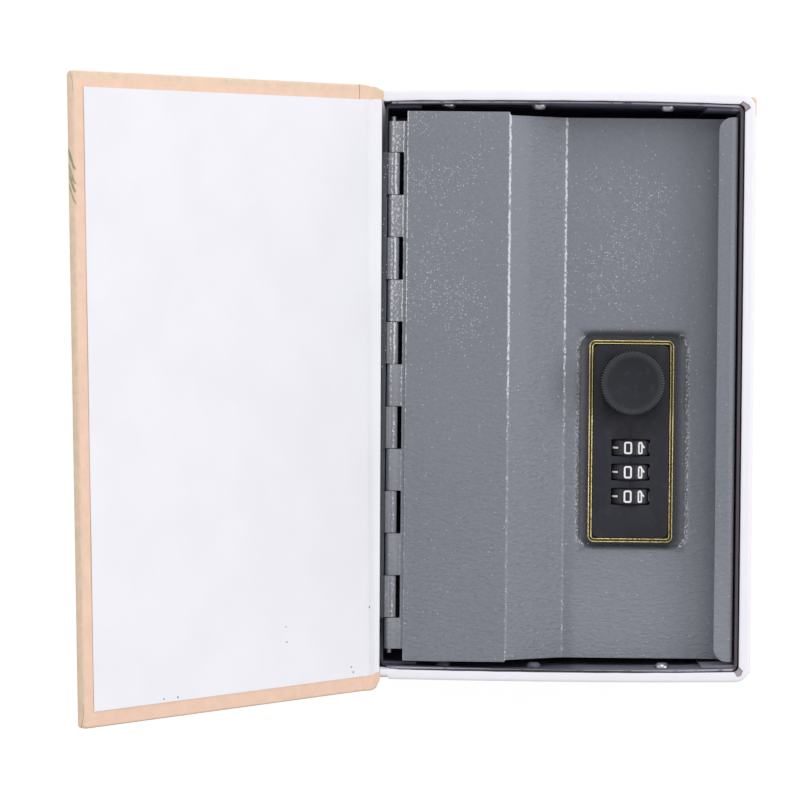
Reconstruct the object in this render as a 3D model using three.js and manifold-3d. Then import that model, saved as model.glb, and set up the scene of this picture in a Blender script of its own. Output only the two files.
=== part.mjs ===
// Book diversion safe: a lockable steel box hidden inside a hardback book.
// Millimetres, +Z up. The book lies on its back cover with the spine along -X
// and its head along +Y. The origin is the middle of the back cover's outer face.
// The front cover stands open, the steel lid is closed and the cam is turned back.
import * as THREE from 'three';
import { mergeVertices } from 'three/addons/utils/BufferGeometryUtils.js';
import Module from 'manifold-3d';

const wasm = await Module();
wasm.setup();

// Book case: boards, wrap and papers
const bookLength = 181;
const bookWidth = 120.4;
const bookThickness = 55;
const boardThickness = 2;
const spineBoardThickness = 1.6;
const wrapThickness = 0.3;
const endpaperThickness = 0.2;
const pasteGap = 0.1;
const turnIn = 14;
const backCoverShort = 0.7;
const endpaperForeBorder = 3.64;
const endpaperHeadBorder = 4.38;
const endpaperTailBorder = 4.52;
const backPaperForeBorder = 0.7;
const backPaperEndBorder = 2.3;
const jointWidth = 4.7;
const wrapJointWidth = 4.5;
const foldRadius = 0.5;
const foldClearance = 0.35;
const foldInset = 1.7;
const foldRise = 0.25;
const coverOpenAngle = 132;
const coverAskewAngle = 0.82;
const coverTailShift = 0.8;
const gutterDepth = 30;

// Page block: a greyboard frame round three sides, wrapped in white paper
const foreEdgeSquare = 5.4;
const headSquare = 2.5;
const pageFrameWall = 2.7;
const pagePaperThickness = 0.3;
const pageCornerRadius = 4;
const pageFrameInnerRadius = 1.5;
const closingClearance = 0.3;
const pageEndGap = 1;

// Steel box
const traySheet = 0.8;
const trayLengthClearance = 0.3;
const trayForeClearance = 0.4;
const trayDrop = 1.1;
const trayCornerRadius = 2;
const hingeWallDrop = 0.1;
const hingeEndDrop = 3;
const tabLength = 10;
const tabDrop = 0.8;
const tabGap = 0.1;

// Piano hinge
const knucklePitch = 12.7;
const hingeEndGap = 4.6;
const knuckleRadius = 1.5;
const pinRadius = 0.75;
const pinClearance = 0.08;
const pinOverhang = 1.4;
const leafThickness = 0.8;
const knuckleGap = 0.2;
const leafGap = 0.1;
const knuckleWallClearance = 0.3;
const windowReach = 2.7;
const lidLeafWidth = 14;
const boxLeafHeight = 18;

// Lid panel
const lidSheet = 1;
const lidDrop = 0.2;
const lidStart = 4.1;
const recessWidth = 51.05;
const slopeRun = 17.3;
const recessDepth = 10.7;
const lidForeClearance = 0.65;
const lipWidth = 5.7;
const lipDrop = 0.8;
const lipCornerRadius = 4;
const lidWallLean = 0.55;
const raisedHeadGap = 1.6;
const raisedTailGap = 1;
const recessHeadGap = 2.6;
const recessTailGap = 1.6;

// Pressed pocket round the lock
const pocketSideMargin = 3.65;
const pocketEndMargin = 2.4;
const pocketDepth = 2;
const pocketCorner = 5;
const pocketSlope = 1.6;
const pocketOffsetX = 0.95;
const pocketOffsetY = 0.2;

// Combination lock
const lockWidth = 25.8;
const lockLength = 61.3;
const lockCorner = 3.6;
const lockFromWall = 31.3;
const lockBelowCentre = 16.45;
const flangeThickness = 1.8;
const faceThickness = 1;
const rimWidth = 1.35;
const rimRise = 0.4;
const rimGroove = 0.5;
const rimGap = 0.1;
const flangeSide = 1.9;
const flangeEnd = 2.15;
const housingDepth = 12.7;
const cutoutClearance = 0.3;
const backCoverThickness = 1.3;
const wheelRadius = 7;
const wheelThickness = 4.7;
const wheelPitch = 7.37;
const wheelRise = 1.7;
const lastWheelInset = 13.96;
const wheelCount = 3;
const windowWidth = 11.7;
const wheelSideClearance = 0.2;
const wheelRimClearance = 0.5;
const wheelSlotClearance = 0.6;
const wheelBayRoof = 0.8;
const axleRadius = 1.5;
const axleClearance = 0.1;
const gateRingRadius = 3.2;
const gateRingThickness = 1.6;
const gateNotchWidth = 1.6;
const gateNotchDepth = 1.1;
const ringGap = 0.15;
const detentSheet = 0.4;
const detentFingerWidth = 3;
const axleSeat = 1.5;

// Knob, spindle, cam and what they drive
const knobInset = 12.9;
const knobRadius = 9.5;
const knobHeight = 7.6;
const knobClearance = 0.3;
const knobDish = 1.4;
const knobRimWidth = 1.3;
const knurlCount = 48;
const knurlDepth = 0.28;
const spindleRadius = 4;
const spindleClearance = 0.1;
const spindleSquare = 5.6;
const spindleSquareClearance = 0.15;
const collarRadius = 5.2;
const collarThickness = 0.8;
const stackGap = 0.3;
const clipRadius = 5.6;
const clipThickness = 0.6;
const camThickness = 2;
const camWidth = 10;
const camWallClearance = 0.9;
const camScrewHead = 3.6;
const camScrewHeadHeight = 1.3;
const camScrewRadius = 1.6;
const camScrewLength = 7;
const barWidth = 4;
const barThickness = 1;
const barTravel = 0.6;
const toothThickness = 1.2;
const retainerThickness = 1;
const retainerWidth = 3;
const coverScrewInset = 3.4;
const coverScrewRadius = 1;
const coverScrewHead = 2;
const coverScrewHeadHeight = 0.9;
const coverScrewLength = 6;

// Catch on the fore-edge wall of the box
const catchLength = 18;
const catchDepth = 4.8;
const catchSheet = 0.8;
const catchGap = 0.3;
const camCatchGap = 0.5;

// Screws that hold the box in the page frame
const trayScrewPlaces = [-37, -9.7, 29];
const trayScrewBelowEdge = 5.5;
const trayScrewRadius = 1.2;
const trayScrewHead = 2.25;
const trayScrewHeadHeight = 1.4;
const trayScrewLength = 2.1;
const screwHoleClearance = 0.15;

// Levels that follow from the stack of sheets
const coverStack = 2 * wrapThickness + boardThickness + endpaperThickness + 3 * pasteGap;
const backBoardBottom = wrapThickness + pasteGap;
const backTurnInBottom = backBoardBottom + boardThickness + pasteGap;
const backEndpaperBottom = backTurnInBottom + wrapThickness + pasteGap;
const blockBottom = coverStack + pasteGap;
const frontInnerFace = bookThickness - coverStack;
const lipTop = frontInnerFace - closingClearance;
const halfLength = bookLength / 2;
const halfWidth = bookWidth / 2;
const backRight = halfWidth - backCoverShort;

// Cover hinge line, slightly askew as the paper joint lets it be
const coverHinge = new THREE.Vector3(-halfWidth + foldInset, 0, frontInnerFace + foldRise);
const askew = THREE.MathUtils.degToRad(coverAskewAngle);
const coverAxis = new THREE.Vector3(Math.sin(askew), -Math.cos(askew), 0);

// Spine, counted inwards from its outer face
const spineBoardOuter = -halfWidth + wrapThickness + pasteGap;
const spineBoardInner = spineBoardOuter + spineBoardThickness;
const spineTurnInInner = spineBoardInner + pasteGap + wrapThickness;
const gutterOuter = spineTurnInInner + pasteGap;
const gutterInner = gutterOuter + endpaperThickness;
const gutterTop = coverHinge.z - foldRadius - foldRise;
const spineTop = gutterTop - endpaperThickness - pasteGap;

// Page block outline
const pageRight = halfWidth - foreEdgeSquare;
const pageHead = halfLength - headSquare;
const pageLip = pageFrameWall + pasteGap + pagePaperThickness;
const pageLeft = gutterInner + pageEndGap;
const pageInnerRight = pageRight - pageLip;
const pageInnerHead = pageHead - pageLip;
const frameTop = lipTop - pagePaperThickness - pasteGap;

// Steel box outline
const trayRight = pageInnerRight - trayForeClearance;
const trayHead = pageInnerHead - trayLengthClearance;
const trayTop = lipTop - trayDrop;
const trayInnerRight = trayRight - traySheet;
const trayInnerHead = trayHead - traySheet;
const trayFloor = blockBottom + traySheet;
const leafOuter = gutterInner + 0.5 * pageEndGap + knuckleGap;
const leafInner = leafOuter + leafThickness;
const trayLeft = leafInner + leafGap;
const trayInnerLeft = trayLeft + traySheet;

// Lid hinge axis and the lid's outline
const lidTop = trayTop - lidDrop;
const lidAxisX = trayInnerLeft + knuckleWallClearance + knuckleRadius;
const lidAxisZ = lidTop - lidSheet - knuckleRadius;
const hingeLength = 2 * (trayInnerHead - hingeEndGap);
const lastKnuckle = Math.round(hingeLength / (2 * knucklePitch));
const lastBoxKnuckle = lastKnuckle % 2 ? lastKnuckle : lastKnuckle - 1;
const boxLeafLength = Math.min((2 * lastBoxKnuckle + 1) * knucklePitch, hingeLength);
const lidLeft = lidAxisX + lidStart;
const floorTop = lidTop - recessDepth;
const floorUnder = floorTop - lidSheet;
const lidRight = trayInnerRight - lidForeClearance;
const secondBend = lidRight - recessWidth;
const firstBend = secondBend - slopeRun;
const lipLevel = lidTop - lipDrop;
const lipLeft = lidRight - lipWidth;
const raisedHead = trayInnerHead - raisedHeadGap;
const raisedTail = -trayInnerHead + raisedTailGap;
const recessHead = trayInnerHead - recessHeadGap;
const recessTail = -trayInnerHead + recessTailGap;
const hingeWallTop = lidAxisZ + knuckleRadius - leafThickness - hingeWallDrop;

// Lock levels and places
const lockX = trayInnerRight - lockFromWall;
const lockY = -lockBelowCentre;
const housingWidth = lockWidth - 2 * flangeSide;
const housingLength = lockLength - 2 * flangeEnd;
const pocketWidth = lockWidth + 2 * pocketSideMargin;
const pocketLength = lockLength + 2 * pocketEndMargin;
const pocketFloor = floorTop - pocketDepth;
const pocketUnder = pocketFloor - lidSheet;
const flangeTop = pocketFloor + flangeThickness;
const faceTop = flangeTop + faceThickness;
const wheelAxisZ = faceTop + wheelRise - wheelRadius;
const housingBottom = pocketFloor - housingDepth;
const backCoverBottom = housingBottom - backCoverThickness;
const knobY = lockY + lockLength / 2 - knobInset;
const knobBottom = faceTop + knobClearance;
const windowLength = wheelThickness + 2 * wheelSideClearance;
const lastWheelY = lockY - lockLength / 2 + lastWheelInset;
const wheelYs = Array.from({ length: wheelCount }, (_,
    i) => lastWheelY + (wheelCount - 1 - i) * wheelPitch);
const ringYs = wheelYs.map((y) => y + wheelThickness / 2 + ringGap);
const wheelBayHead = ringYs[0] + gateRingThickness + ringGap;
const wheelBayTail = wheelYs[wheelCount - 1] - windowLength / 2;
const wheelBayHalf = wheelRadius + wheelRimClearance;
const wheelBayTop = flangeTop - wheelBayRoof;
const wheelSlotHalf = windowWidth / 2 + wheelSlotClearance;
const collarBottom = housingBottom + stackGap;
const collarTop = collarBottom + collarThickness;
const barBottom = collarTop + stackGap;
const toothTop = wheelAxisZ - gateRingRadius - barTravel - 0.5 * stackGap;
const clipTop = backCoverBottom - stackGap / 2;
const clipBottom = clipTop - clipThickness;
const camTop = clipBottom - stackGap / 2;
const camBottom = camTop - camThickness;
const camReach = trayInnerRight - catchSheet - lockX - camWallClearance + catchGap;

// Turns a closed three.js geometry into a solid that can be cut and joined
function solid(geometry) {
  const bare = geometry.clone();
  bare.deleteAttribute('normal');
  bare.deleteAttribute('uv');
  const merged = mergeVertices(bare, 1e-4);
  const mesh = new wasm.Mesh({
    numProp: 3,
    vertProperties: new Float32Array(merged.attributes.position.array),
    triVerts: new Uint32Array(merged.index.array),
  });
  return new wasm.Manifold(mesh);
}

function geometryOf(body) {
  const mesh = body.getMesh();
  const geometry = new THREE.BufferGeometry();
  geometry.setAttribute('position', new THREE.BufferAttribute(new Float32Array(mesh.vertProperties), 3));
  geometry.setIndex(new THREE.BufferAttribute(new Uint32Array(mesh.triVerts), 1));
  geometry.computeVertexNormals();
  return geometry;
}

function join(first, ...others) {
  return geometryOf(others.reduce((body, other) => body.add(solid(other)), solid(first)));
}

function cut(first, ...tools) {
  return geometryOf(tools.reduce((body, tool) => body.subtract(solid(tool)), solid(first)));
}

function block(x0, x1, y0, y1, z0, z1) {
  const geometry = new THREE.BoxGeometry(x1 - x0, y1 - y0, z1 - z0);
  return geometry.translate((x0 + x1) / 2, (y0 + y1) / 2, (z0 + z1) / 2);
}

// A flat outline in X and Y, raised from z0 to z1
function prism(shape, z0, z1, curveSegments = 5) {
  const geometry = new THREE.ExtrudeGeometry(shape, { depth: z1 - z0, bevelEnabled: false,
      curveSegments });
  return geometry.translate(0, 0, z0);
}

// A section in X and Z, drawn out from y0 to y1
function alongY(shape, y0, y1, curveSegments = 5) {
  const geometry = new THREE.ExtrudeGeometry(shape, { depth: y1 - y0, bevelEnabled: false,
      curveSegments });
  return geometry.rotateX(Math.PI / 2).translate(0, y1, 0);
}

function rodY(x, z, radius, y0, y1, sides = 20) {
  const geometry = new THREE.CylinderGeometry(radius, radius, y1 - y0, sides);
  return geometry.translate(x, (y0 + y1) / 2, z);
}

function rodZ(x, y, radius, z0, z1, sides = 24) {
  const geometry = new THREE.CylinderGeometry(radius, radius, z1 - z0, sides);
  return geometry.rotateX(Math.PI / 2).translate(x, y, (z0 + z1) / 2);
}

function polygon(points) {
  return new THREE.Shape(points.map(([x, y]) => new THREE.Vector2(x, y)));
}

function roundedRectangle(cx, cy, width, length, radius) {
  const left = cx - width / 2;
  const right = cx + width / 2;
  const low = cy - length / 2;
  const high = cy + length / 2;
  const quarter = Math.PI / 2;
  const shape = new THREE.Shape();
  shape.moveTo(left + radius, low);
  shape.lineTo(right - radius, low);
  shape.absarc(right - radius, low + radius, radius, -quarter, 0, false);
  shape.lineTo(right, high - radius);
  shape.absarc(right - radius, high - radius, radius, 0, quarter, false);
  shape.lineTo(left + radius, high);
  shape.absarc(left + radius, high - radius, radius, quarter, 2 * quarter, false);
  shape.lineTo(left, low + radius);
  shape.absarc(left + radius, low + radius, radius, 2 * quarter, 3 * quarter, false);
  return shape;
}

// A three-sided outline, square at the spine and rounded at the fore edge
function pageOutline(left, right, half, radius) {
  const quarter = Math.PI / 2;
  const shape = new THREE.Shape();
  shape.moveTo(left, -half);
  shape.lineTo(right - radius, -half);
  shape.absarc(right - radius, -half + radius, radius, -quarter, 0, false);
  shape.lineTo(right, half - radius);
  shape.absarc(right - radius, half - radius, radius, 0, quarter, false);
  shape.lineTo(left, half);
  shape.closePath();
  return shape;
}

// The section of a bent sheet: its upper face as points, its thickness to the right of the way they run
function sheetSection(points, thickness) {
  const at = points.map(([x, y]) => new THREE.Vector2(x, y));
  const offset = at.map((point, i) => {
    const before = i > 0 ? point.clone().sub(at[i - 1]).normalize() : null;
    const after = i < at.length - 1 ? at[i + 1].clone().sub(point).normalize() : null;
    const one = before ?? after;
    const two = after ?? before;
    const sum = new THREE.Vector2(one.y + two.y, -one.x - two.x).normalize();
    const stretch = thickness / sum.dot(new THREE.Vector2(one.y, -one.x));
    return point.clone().addScaledVector(sum, stretch);
  });
  return new THREE.Shape([...at, ...offset.reverse()]);
}

// A closed form between two rings of the same count, each at its own level
function taper(lowShape, lowZ, highShape, highZ, divisions = 5) {
  const low = lowShape.getPoints(divisions).slice(0, -1);
  const high = highShape.getPoints(divisions).slice(0, -1);
  const count = Math.min(low.length, high.length);
  const middle = (ring) => ring.reduce((sum, p) => sum.add(p),
      new THREE.Vector2()).divideScalar(ring.length);
  const lowMiddle = middle(low);
  const highMiddle = middle(high);
  const positions = [];
  for (let i = 0; i < count; i += 1) {
    positions.push(low[i].x, low[i].y, lowZ);
  }
  for (let i = 0; i < count; i += 1) {
    positions.push(high[i].x, high[i].y, highZ);
  }
  positions.push(lowMiddle.x, lowMiddle.y, lowZ, highMiddle.x, highMiddle.y, highZ);
  const index = [];
  for (let i = 0; i < count; i += 1) {
    const next = (i + 1) % count;
    index.push(i, next, count + next, i, count + next, count + i);
    index.push(2 * count, next, i, 2 * count + 1, count + i, count + next);
  }
  const geometry = new THREE.BufferGeometry();
  geometry.setAttribute('position', new THREE.Float32BufferAttribute(positions, 3));
  geometry.setIndex(index);
  return geometry;
}

// A turned piece, its profile as [radius, height] from the bottom up
function turned(profile, sides = 16) {
  return new THREE.LatheGeometry(profile.map(([r, h]) => new THREE.Vector2(r, h)),
      sides).rotateX(Math.PI / 2);
}

// Front cover pieces, drawn as they lie on the closed book
const foldOffset = (y) => coverHinge.x - Math.tan(askew) * y;
const coverTurnInTop = frontInnerFace + endpaperThickness + pasteGap + wrapThickness;
const coverBoardBottom = coverTurnInTop + pasteGap;
const coverEdge = wrapThickness + pasteGap;

function frontBoard() {
  const left = coverHinge.x + jointWidth;
  const half = halfLength - coverEdge;
  return block(left, halfWidth - coverEdge, -half, half, coverBoardBottom,
      coverBoardBottom + boardThickness);
}

// A strip whose spine edge follows the hinge line, from one y to another
function besideFold(reach, y0, y1, right) {
  return polygon([[foldOffset(y0) + reach, y0], [right, y0], [right, y1], [foldOffset(y1) + reach, y1]]);
}

function frontWrap() {
  const left = coverHinge.x + wrapJointWidth;
  const low = frontInnerFace + endpaperThickness + pasteGap;
  const outer = block(left, halfWidth, -halfLength, halfLength, low, bookThickness);
  const hollowHalf = halfLength - wrapThickness;
  const hollowRight = halfWidth - wrapThickness;
  const hollow = block(left - 1, hollowRight, -hollowHalf, hollowHalf, coverTurnInTop,
      bookThickness - wrapThickness);
  const window = block(left - 1, halfWidth - turnIn, -halfLength + turnIn, halfLength - turnIn,
      low - 1, bookThickness - 1);
  const turnIns = [-1, 1].map((side) => {
    const edges = [side * halfLength, side * (halfLength - turnIn)].sort((a, b) => a - b);
    return prism(besideFold(foldRadius + foldClearance, edges[0], edges[1], left + 1), low,
        coverTurnInTop);
  });
  return join(cut(outer, hollow, window), ...turnIns);
}

function frontEndpaper() {
  const low = -halfLength + endpaperTailBorder;
  const high = halfLength - endpaperHeadBorder;
  const outline = besideFold(foldRadius + foldClearance, low, high, halfWidth - endpaperForeBorder);
  return prism(outline, frontInnerFace, frontInnerFace + endpaperThickness);
}

// The folded ridge of the paper joint, on the hinge line itself
function coverFold() {
  const length = bookLength / Math.cos(askew) - 2 * wrapThickness;
  const rod = new THREE.CylinderGeometry(foldRadius, foldRadius, length, 12);
  rod.rotateZ(askew);
  return rod.translate(coverHinge.x, coverHinge.y, coverHinge.z);
}

// Spine and back cover
function spineBoard() {
  const half = halfLength - coverEdge;
  return block(spineBoardOuter, spineBoardInner, -half, half, backBoardBottom, spineTop);
}

function backBoard() {
  const half = halfLength - coverEdge;
  const left = coverHinge.x + jointWidth;
  return block(left, backRight - coverEdge, -half, half, backBoardBottom,
      backBoardBottom + boardThickness);
}

function caseWrap() {
  const turnInTop = backTurnInBottom + wrapThickness;
  const hollowHalf = halfLength - wrapThickness;
  const windowHalf = halfLength - turnIn;
  const back = block(-halfWidth, backRight, -halfLength, halfLength, 0, turnInTop);
  const spine = block(-halfWidth, spineTurnInInner, -halfLength, halfLength, 0, spineTop);
  const backHollow = block(-halfWidth + wrapThickness, backRight - wrapThickness, -hollowHalf, hollowHalf,
    wrapThickness, backTurnInBottom);
  const spineHollow = block(-halfWidth + wrapThickness, spineTurnInInner - wrapThickness,
      -hollowHalf, hollowHalf,
    wrapThickness, spineTop + 1);
  const backWindow = block(spineTurnInInner - wrapThickness, backRight - turnIn, -windowHalf, windowHalf,
    wrapThickness, turnInTop + 1);
  const spineWindow = block(-halfWidth + wrapThickness, spineTurnInInner + 1, -windowHalf, windowHalf,
    wrapThickness, spineTop + 1);
  return cut(join(back, spine), backHollow, spineHollow, backWindow, spineWindow);
}

// White lining down the inside of the spine and over its top edge
function gutterPaper() {
  const half = halfLength - endpaperHeadBorder;
  const low = gutterTop - gutterDepth;
  return cut(block(spineBoardOuter, gutterInner, -half, half, low, gutterTop),
    block(spineBoardOuter - 1, gutterOuter, -half - 1, half + 1, low - 1, gutterTop - endpaperThickness));
}

function backEndpaper() {
  const half = halfLength - backPaperEndBorder;
  return block(gutterOuter, backRight - backPaperForeBorder, -half, half,
    backEndpaperBottom, backEndpaperBottom + endpaperThickness);
}

// Page block
function pageFrame() {
  const skin = pagePaperThickness + pasteGap;
  const outer = pageOutline(pageLeft, pageRight - skin, pageHead - skin, pageCornerRadius - skin);
  const inner = pageOutline(pageLeft - 1, pageInnerRight, pageInnerHead, pageFrameInnerRadius);
  const holes = trayScrews().map(({ x, side }) => rodY(x, trayTop - trayScrewBelowEdge,
    trayScrewRadius + screwHoleClearance,
        side > 0 ? pageInnerHead - 1 : -pageInnerHead - trayScrewLength - 0.2,
    side > 0 ? pageInnerHead + trayScrewLength + 0.2 : -pageInnerHead + 1, 12));
  return cut(prism(outer, blockBottom, frameTop), prism(inner, blockBottom - 1, frameTop + 1), ...holes);
}

// The bare corner of the top fold, as steps from the inner corner of the lip
const lipNotch = [[-2.2, -0.5], [-1.5, 1], [0.2, 1.1], [1.1, 0.2], [1.1, -1.6], [-0.2, -2.8], [-2.2,
    -2.8]];

function pagePaper() {
  const outer = pageOutline(pageLeft, pageRight, pageHead, pageCornerRadius);
  const within = pageOutline(pageLeft - 1, pageRight - pagePaperThickness, pageHead - pagePaperThickness,
    pageCornerRadius - pagePaperThickness);
  const inner = pageOutline(pageLeft - 1, pageInnerRight, pageInnerHead, pageFrameInnerRadius);
  const notches = [-1, 1].map((side) => {
    const points = lipNotch.map(([x, y]) => [pageInnerRight + x, side * (pageInnerHead + y)]);
    return prism(polygon(side > 0 ? points : points.reverse()), lipTop - 1, lipTop + 1);
  });
  const hollow = prism(within, blockBottom - 1, lipTop - pagePaperThickness);
  return cut(prism(outer, blockBottom, lipTop), hollow, prism(inner, blockBottom - 1, lipTop + 1),
      ...notches);
}

// Places of the screws through the head and tail walls of the box
function trayScrews() {
  return [1, -1].flatMap((side) => trayScrewPlaces.map((x) => ({ x, side })));
}

function trayScrew({ x, side }) {
  const inside = side * trayInnerHead;
  const profile = [
    [0, -trayScrewHeadHeight], [0.6 * trayScrewHead, -trayScrewHeadHeight],
    [0.9 * trayScrewHead, -0.6 * trayScrewHeadHeight], [trayScrewHead, 0],
    [trayScrewRadius, 0], [trayScrewRadius, trayScrewLength], [0, trayScrewLength + trayScrewRadius],
  ];
  const screw = turned(profile, 12);
  screw.rotateX(-side * Math.PI / 2);
  return screw.translate(x, inside, trayTop - trayScrewBelowEdge);
}

// Steel box, folded from one sheet with a tab inside each corner
function tray() {
  const width = trayRight - trayLeft;
  const middle = (trayRight + trayLeft) / 2;
  const outer = prism(roundedRectangle(middle, 0, width, 2 * trayHead, trayCornerRadius),
      blockBottom, trayTop);
  const inner = prism(roundedRectangle(middle, 0, width - 2 * traySheet, 2 * trayInnerHead,
    trayCornerRadius - traySheet), trayFloor, trayTop + 1);
  const leafEnd = boxLeafLength / 2 + knuckleGap;
  const hingeCut = block(trayLeft - 1, trayInnerLeft + 0.2, -leafEnd, leafEnd, hingeWallTop, trayTop + 1);
  // Past the hinge the wall is lower, and both of its corners are cut away down to the same level
  const endCuts = [-1, 1].map((side) => {
    const far = side * (trayHead + 1);
    return block(trayLeft - 1, trayLeft + trayCornerRadius, Math.min(side * leafEnd, far),
      Math.max(side * leafEnd, far), hingeWallTop - hingeEndDrop, trayTop + 1);
  });
  const holes = trayScrews().map(({ x, side }) => rodY(x, trayTop - trayScrewBelowEdge,
    trayScrewRadius + screwHoleClearance, side > 0 ? trayInnerHead - 1 : -trayHead - 1,
    side > 0 ? trayHead + 1 : -trayInnerHead + 1, 12));
  const tabOuter = trayInnerHead - tabGap;
  const tabs = [-1, 1].flatMap((end) => [-1, 1].map((side) => {
    const root = end > 0 ? trayInnerRight + 0.5 * traySheet : trayInnerLeft - 0.5 * traySheet;
    const tip = end > 0 ? trayInnerRight - tabLength : trayInnerLeft + tabLength;
    const low = side > 0 ? tabOuter - traySheet : -tabOuter;
    const top = end > 0 ? trayTop - tabDrop : hingeWallTop - hingeEndDrop;
    return block(Math.min(root, tip), Math.max(root, tip), low, low + traySheet, trayFloor, top);
  }));
  return join(cut(outer, inner, hingeCut, ...endCuts, ...holes), ...tabs);
}

// Catch: its upper flange carries the closed lid, its lower one holds the turned cam
function catchBracket() {
  const wall = trayInnerRight;
  const low = camTop + camCatchGap;
  const high = floorUnder - catchGap;
  const y0 = knobY - catchLength / 2;
  const y1 = knobY + catchLength / 2;
  const web = block(wall - catchSheet, wall, y0, y1, low, high);
  const upper = block(wall - catchDepth, wall, y0, y1, high - catchSheet, high);
  const lower = block(wall - catchDepth, wall, y0, y1, low, low + catchSheet);
  return join(web, upper, lower);
}

// Knuckle spans along the hinge: even ones on the lid, odd ones on the box
function knuckleSpans(parity) {
  const spans = [];
  for (let k = -lastKnuckle; k <= lastKnuckle; k += 1) {
    if (Math.abs(k) % 2 === parity) {
      const low = Math.max((k - 0.5) * knucklePitch + knuckleGap / 2, -hingeLength / 2);
      const high = Math.min((k + 0.5) * knucklePitch - knuckleGap / 2, hingeLength / 2);
      spans.push([low, high]);
    }
  }
  return spans;
}

const leafTop = lidAxisZ + knuckleRadius;
const hingeBore = () => rodY(lidAxisX, lidAxisZ, pinRadius + pinClearance, -hingeLength, hingeLength, 16);

function lidHingeLeaf() {
  const half = hingeLength / 2;
  const plate = block(lidAxisX, lidAxisX + lidLeafWidth, -half, half, leafTop - leafThickness, leafTop);
  const windows = knuckleSpans(1).map(([y0, y1]) => block(lidAxisX - 2 * knuckleRadius,
      lidAxisX + windowReach,
    y0 - knuckleGap, y1 + knuckleGap, lidAxisZ - 2 * knuckleRadius, lidAxisZ + 2 * knuckleRadius));
  const rolls = knuckleSpans(0).map(([y0, y1]) => rodY(lidAxisX, lidAxisZ, knuckleRadius, y0, y1, 16));
  return cut(join(cut(plate, ...windows), ...rolls), hingeBore());
}

function boxHingeLeaf() {
  const half = boxLeafLength / 2;
  const strip = block(leafOuter, lidAxisX - knuckleRadius - knuckleWallClearance - 0.5 * traySheet,
      -half, half,
    leafTop - leafThickness, leafTop);
  const plate = block(leafOuter, leafInner, -half, half, leafTop - boxLeafHeight, leafTop);
  const arms = knuckleSpans(1).map(([y0, y1]) => block(leafInner, lidAxisX, y0, y1,
      leafTop - leafThickness, leafTop));
  const rolls = knuckleSpans(1).map(([y0, y1]) => rodY(lidAxisX, lidAxisZ, knuckleRadius, y0, y1, 16));
  return cut(join(strip, plate, ...arms, ...rolls), hingeBore());
}

function hingePin() {
  const half = hingeLength / 2 + pinOverhang;
  return rodY(lidAxisX, lidAxisZ, pinRadius, -half, half, 16);
}

// Lid: raised strip, slope, recessed floor, upturned edge and returned lip, pressed from one sheet
function lidPanel() {
  const lipUnder = lipLevel - lidSheet;
  const wallInside = lidRight - lidSheet;
  const section = sheetSection([
    [lidLeft, lidTop], [firstBend, lidTop], [secondBend, floorTop],
    [wallInside - lidWallLean, floorTop], [wallInside, lipUnder], [lipLeft, lipUnder],
  ], lidSheet);
  const body = alongY(section, raisedTail, raisedHead);
  const trims = [[recessHead, raisedHead + 1], [raisedTail - 1, recessTail]].map(([y0, y1]) => block(
    firstBend, lidRight + 1, y0, y1, floorUnder - 1, lidTop + 1));
  const corners = [[recessHead, -1], [recessTail, 1]].map(([y, inward]) => {
    const centreX = lipLeft + lipCornerRadius;
    const centreY = y + inward * lipCornerRadius;
    const square = block(lipLeft - 1, centreX, Math.min(y - inward, centreY), Math.max(y - inward,
        centreY),
      lipUnder - 1, lipLevel + 1);
    return cut(square, rodZ(centreX, centreY, lipCornerRadius, lipUnder - 2, lipLevel + 2, 32));
  });
  const pocketX = lockX + pocketOffsetX;
  const pocketY = lockY + pocketOffsetY;
  const ring = (grow) => roundedRectangle(pocketX, pocketY, pocketWidth + 2 * grow,
      pocketLength + 2 * grow,
    pocketCorner + grow);
  const pan = taper(ring(lidSheet - pocketSlope), pocketUnder, ring(lidSheet), floorUnder);
  const press = taper(ring(-pocketSlope), pocketFloor, ring(0.25 * pocketSlope),
      floorTop + 0.25 * pocketDepth);
  const cutout = prism(roundedRectangle(lockX, lockY, housingWidth + 2 * cutoutClearance,
    housingLength + 2 * cutoutClearance, 1), pocketUnder - 1, pocketFloor + 1);
  return cut(join(cut(body, ...trims, ...corners), pan), press, cutout);
}

// Lock housing: flange on the pocket floor, wheel bay, spindle bore and bar channel
function lockBody() {
  const flange = prism(roundedRectangle(lockX, lockY, lockWidth, lockLength, lockCorner),
      pocketFloor, flangeTop);
  const housing = prism(roundedRectangle(lockX, lockY, housingWidth, housingLength, 0.8),
      housingBottom, pocketFloor + 1);
  const bay = block(lockX - wheelBayHalf, lockX + wheelBayHalf, wheelBayTail, wheelBayHead,
    housingBottom - 1, wheelBayTop);
  const slots = wheelYs.map((y) => block(lockX - wheelSlotHalf, lockX + wheelSlotHalf,
      y - windowLength / 2,
    y + windowLength / 2, wheelBayTop - 1, flangeTop + 1));
  const bore = rodZ(lockX, knobY, spindleRadius + spindleClearance, housingBottom - 1, flangeTop + 1);
  const collarBay = rodZ(lockX, knobY, collarRadius + stackGap, housingBottom - 1,
      barBottom + barThickness + barTravel
    + stackGap);
  const channel = block(lockX - barWidth / 2 - stackGap, lockX + barWidth / 2 + stackGap,
      wheelBayHead - 1, knobY,
    housingBottom - 1, barBottom + barThickness + barTravel + stackGap);
  const axleBore = rodY(lockX, wheelAxisZ, axleRadius + axleClearance, wheelBayTail - axleSeat,
    wheelBayHead + axleSeat, 16);
  const holes = coverScrewPlaces().map(([x, y]) => rodZ(x, y, coverScrewRadius + screwHoleClearance,
    housingBottom - 1, housingBottom + coverScrewLength, 10));
  return cut(join(flange, housing), bay, ...slots, bore, collarBay, channel, axleBore, ...holes);
}

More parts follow.
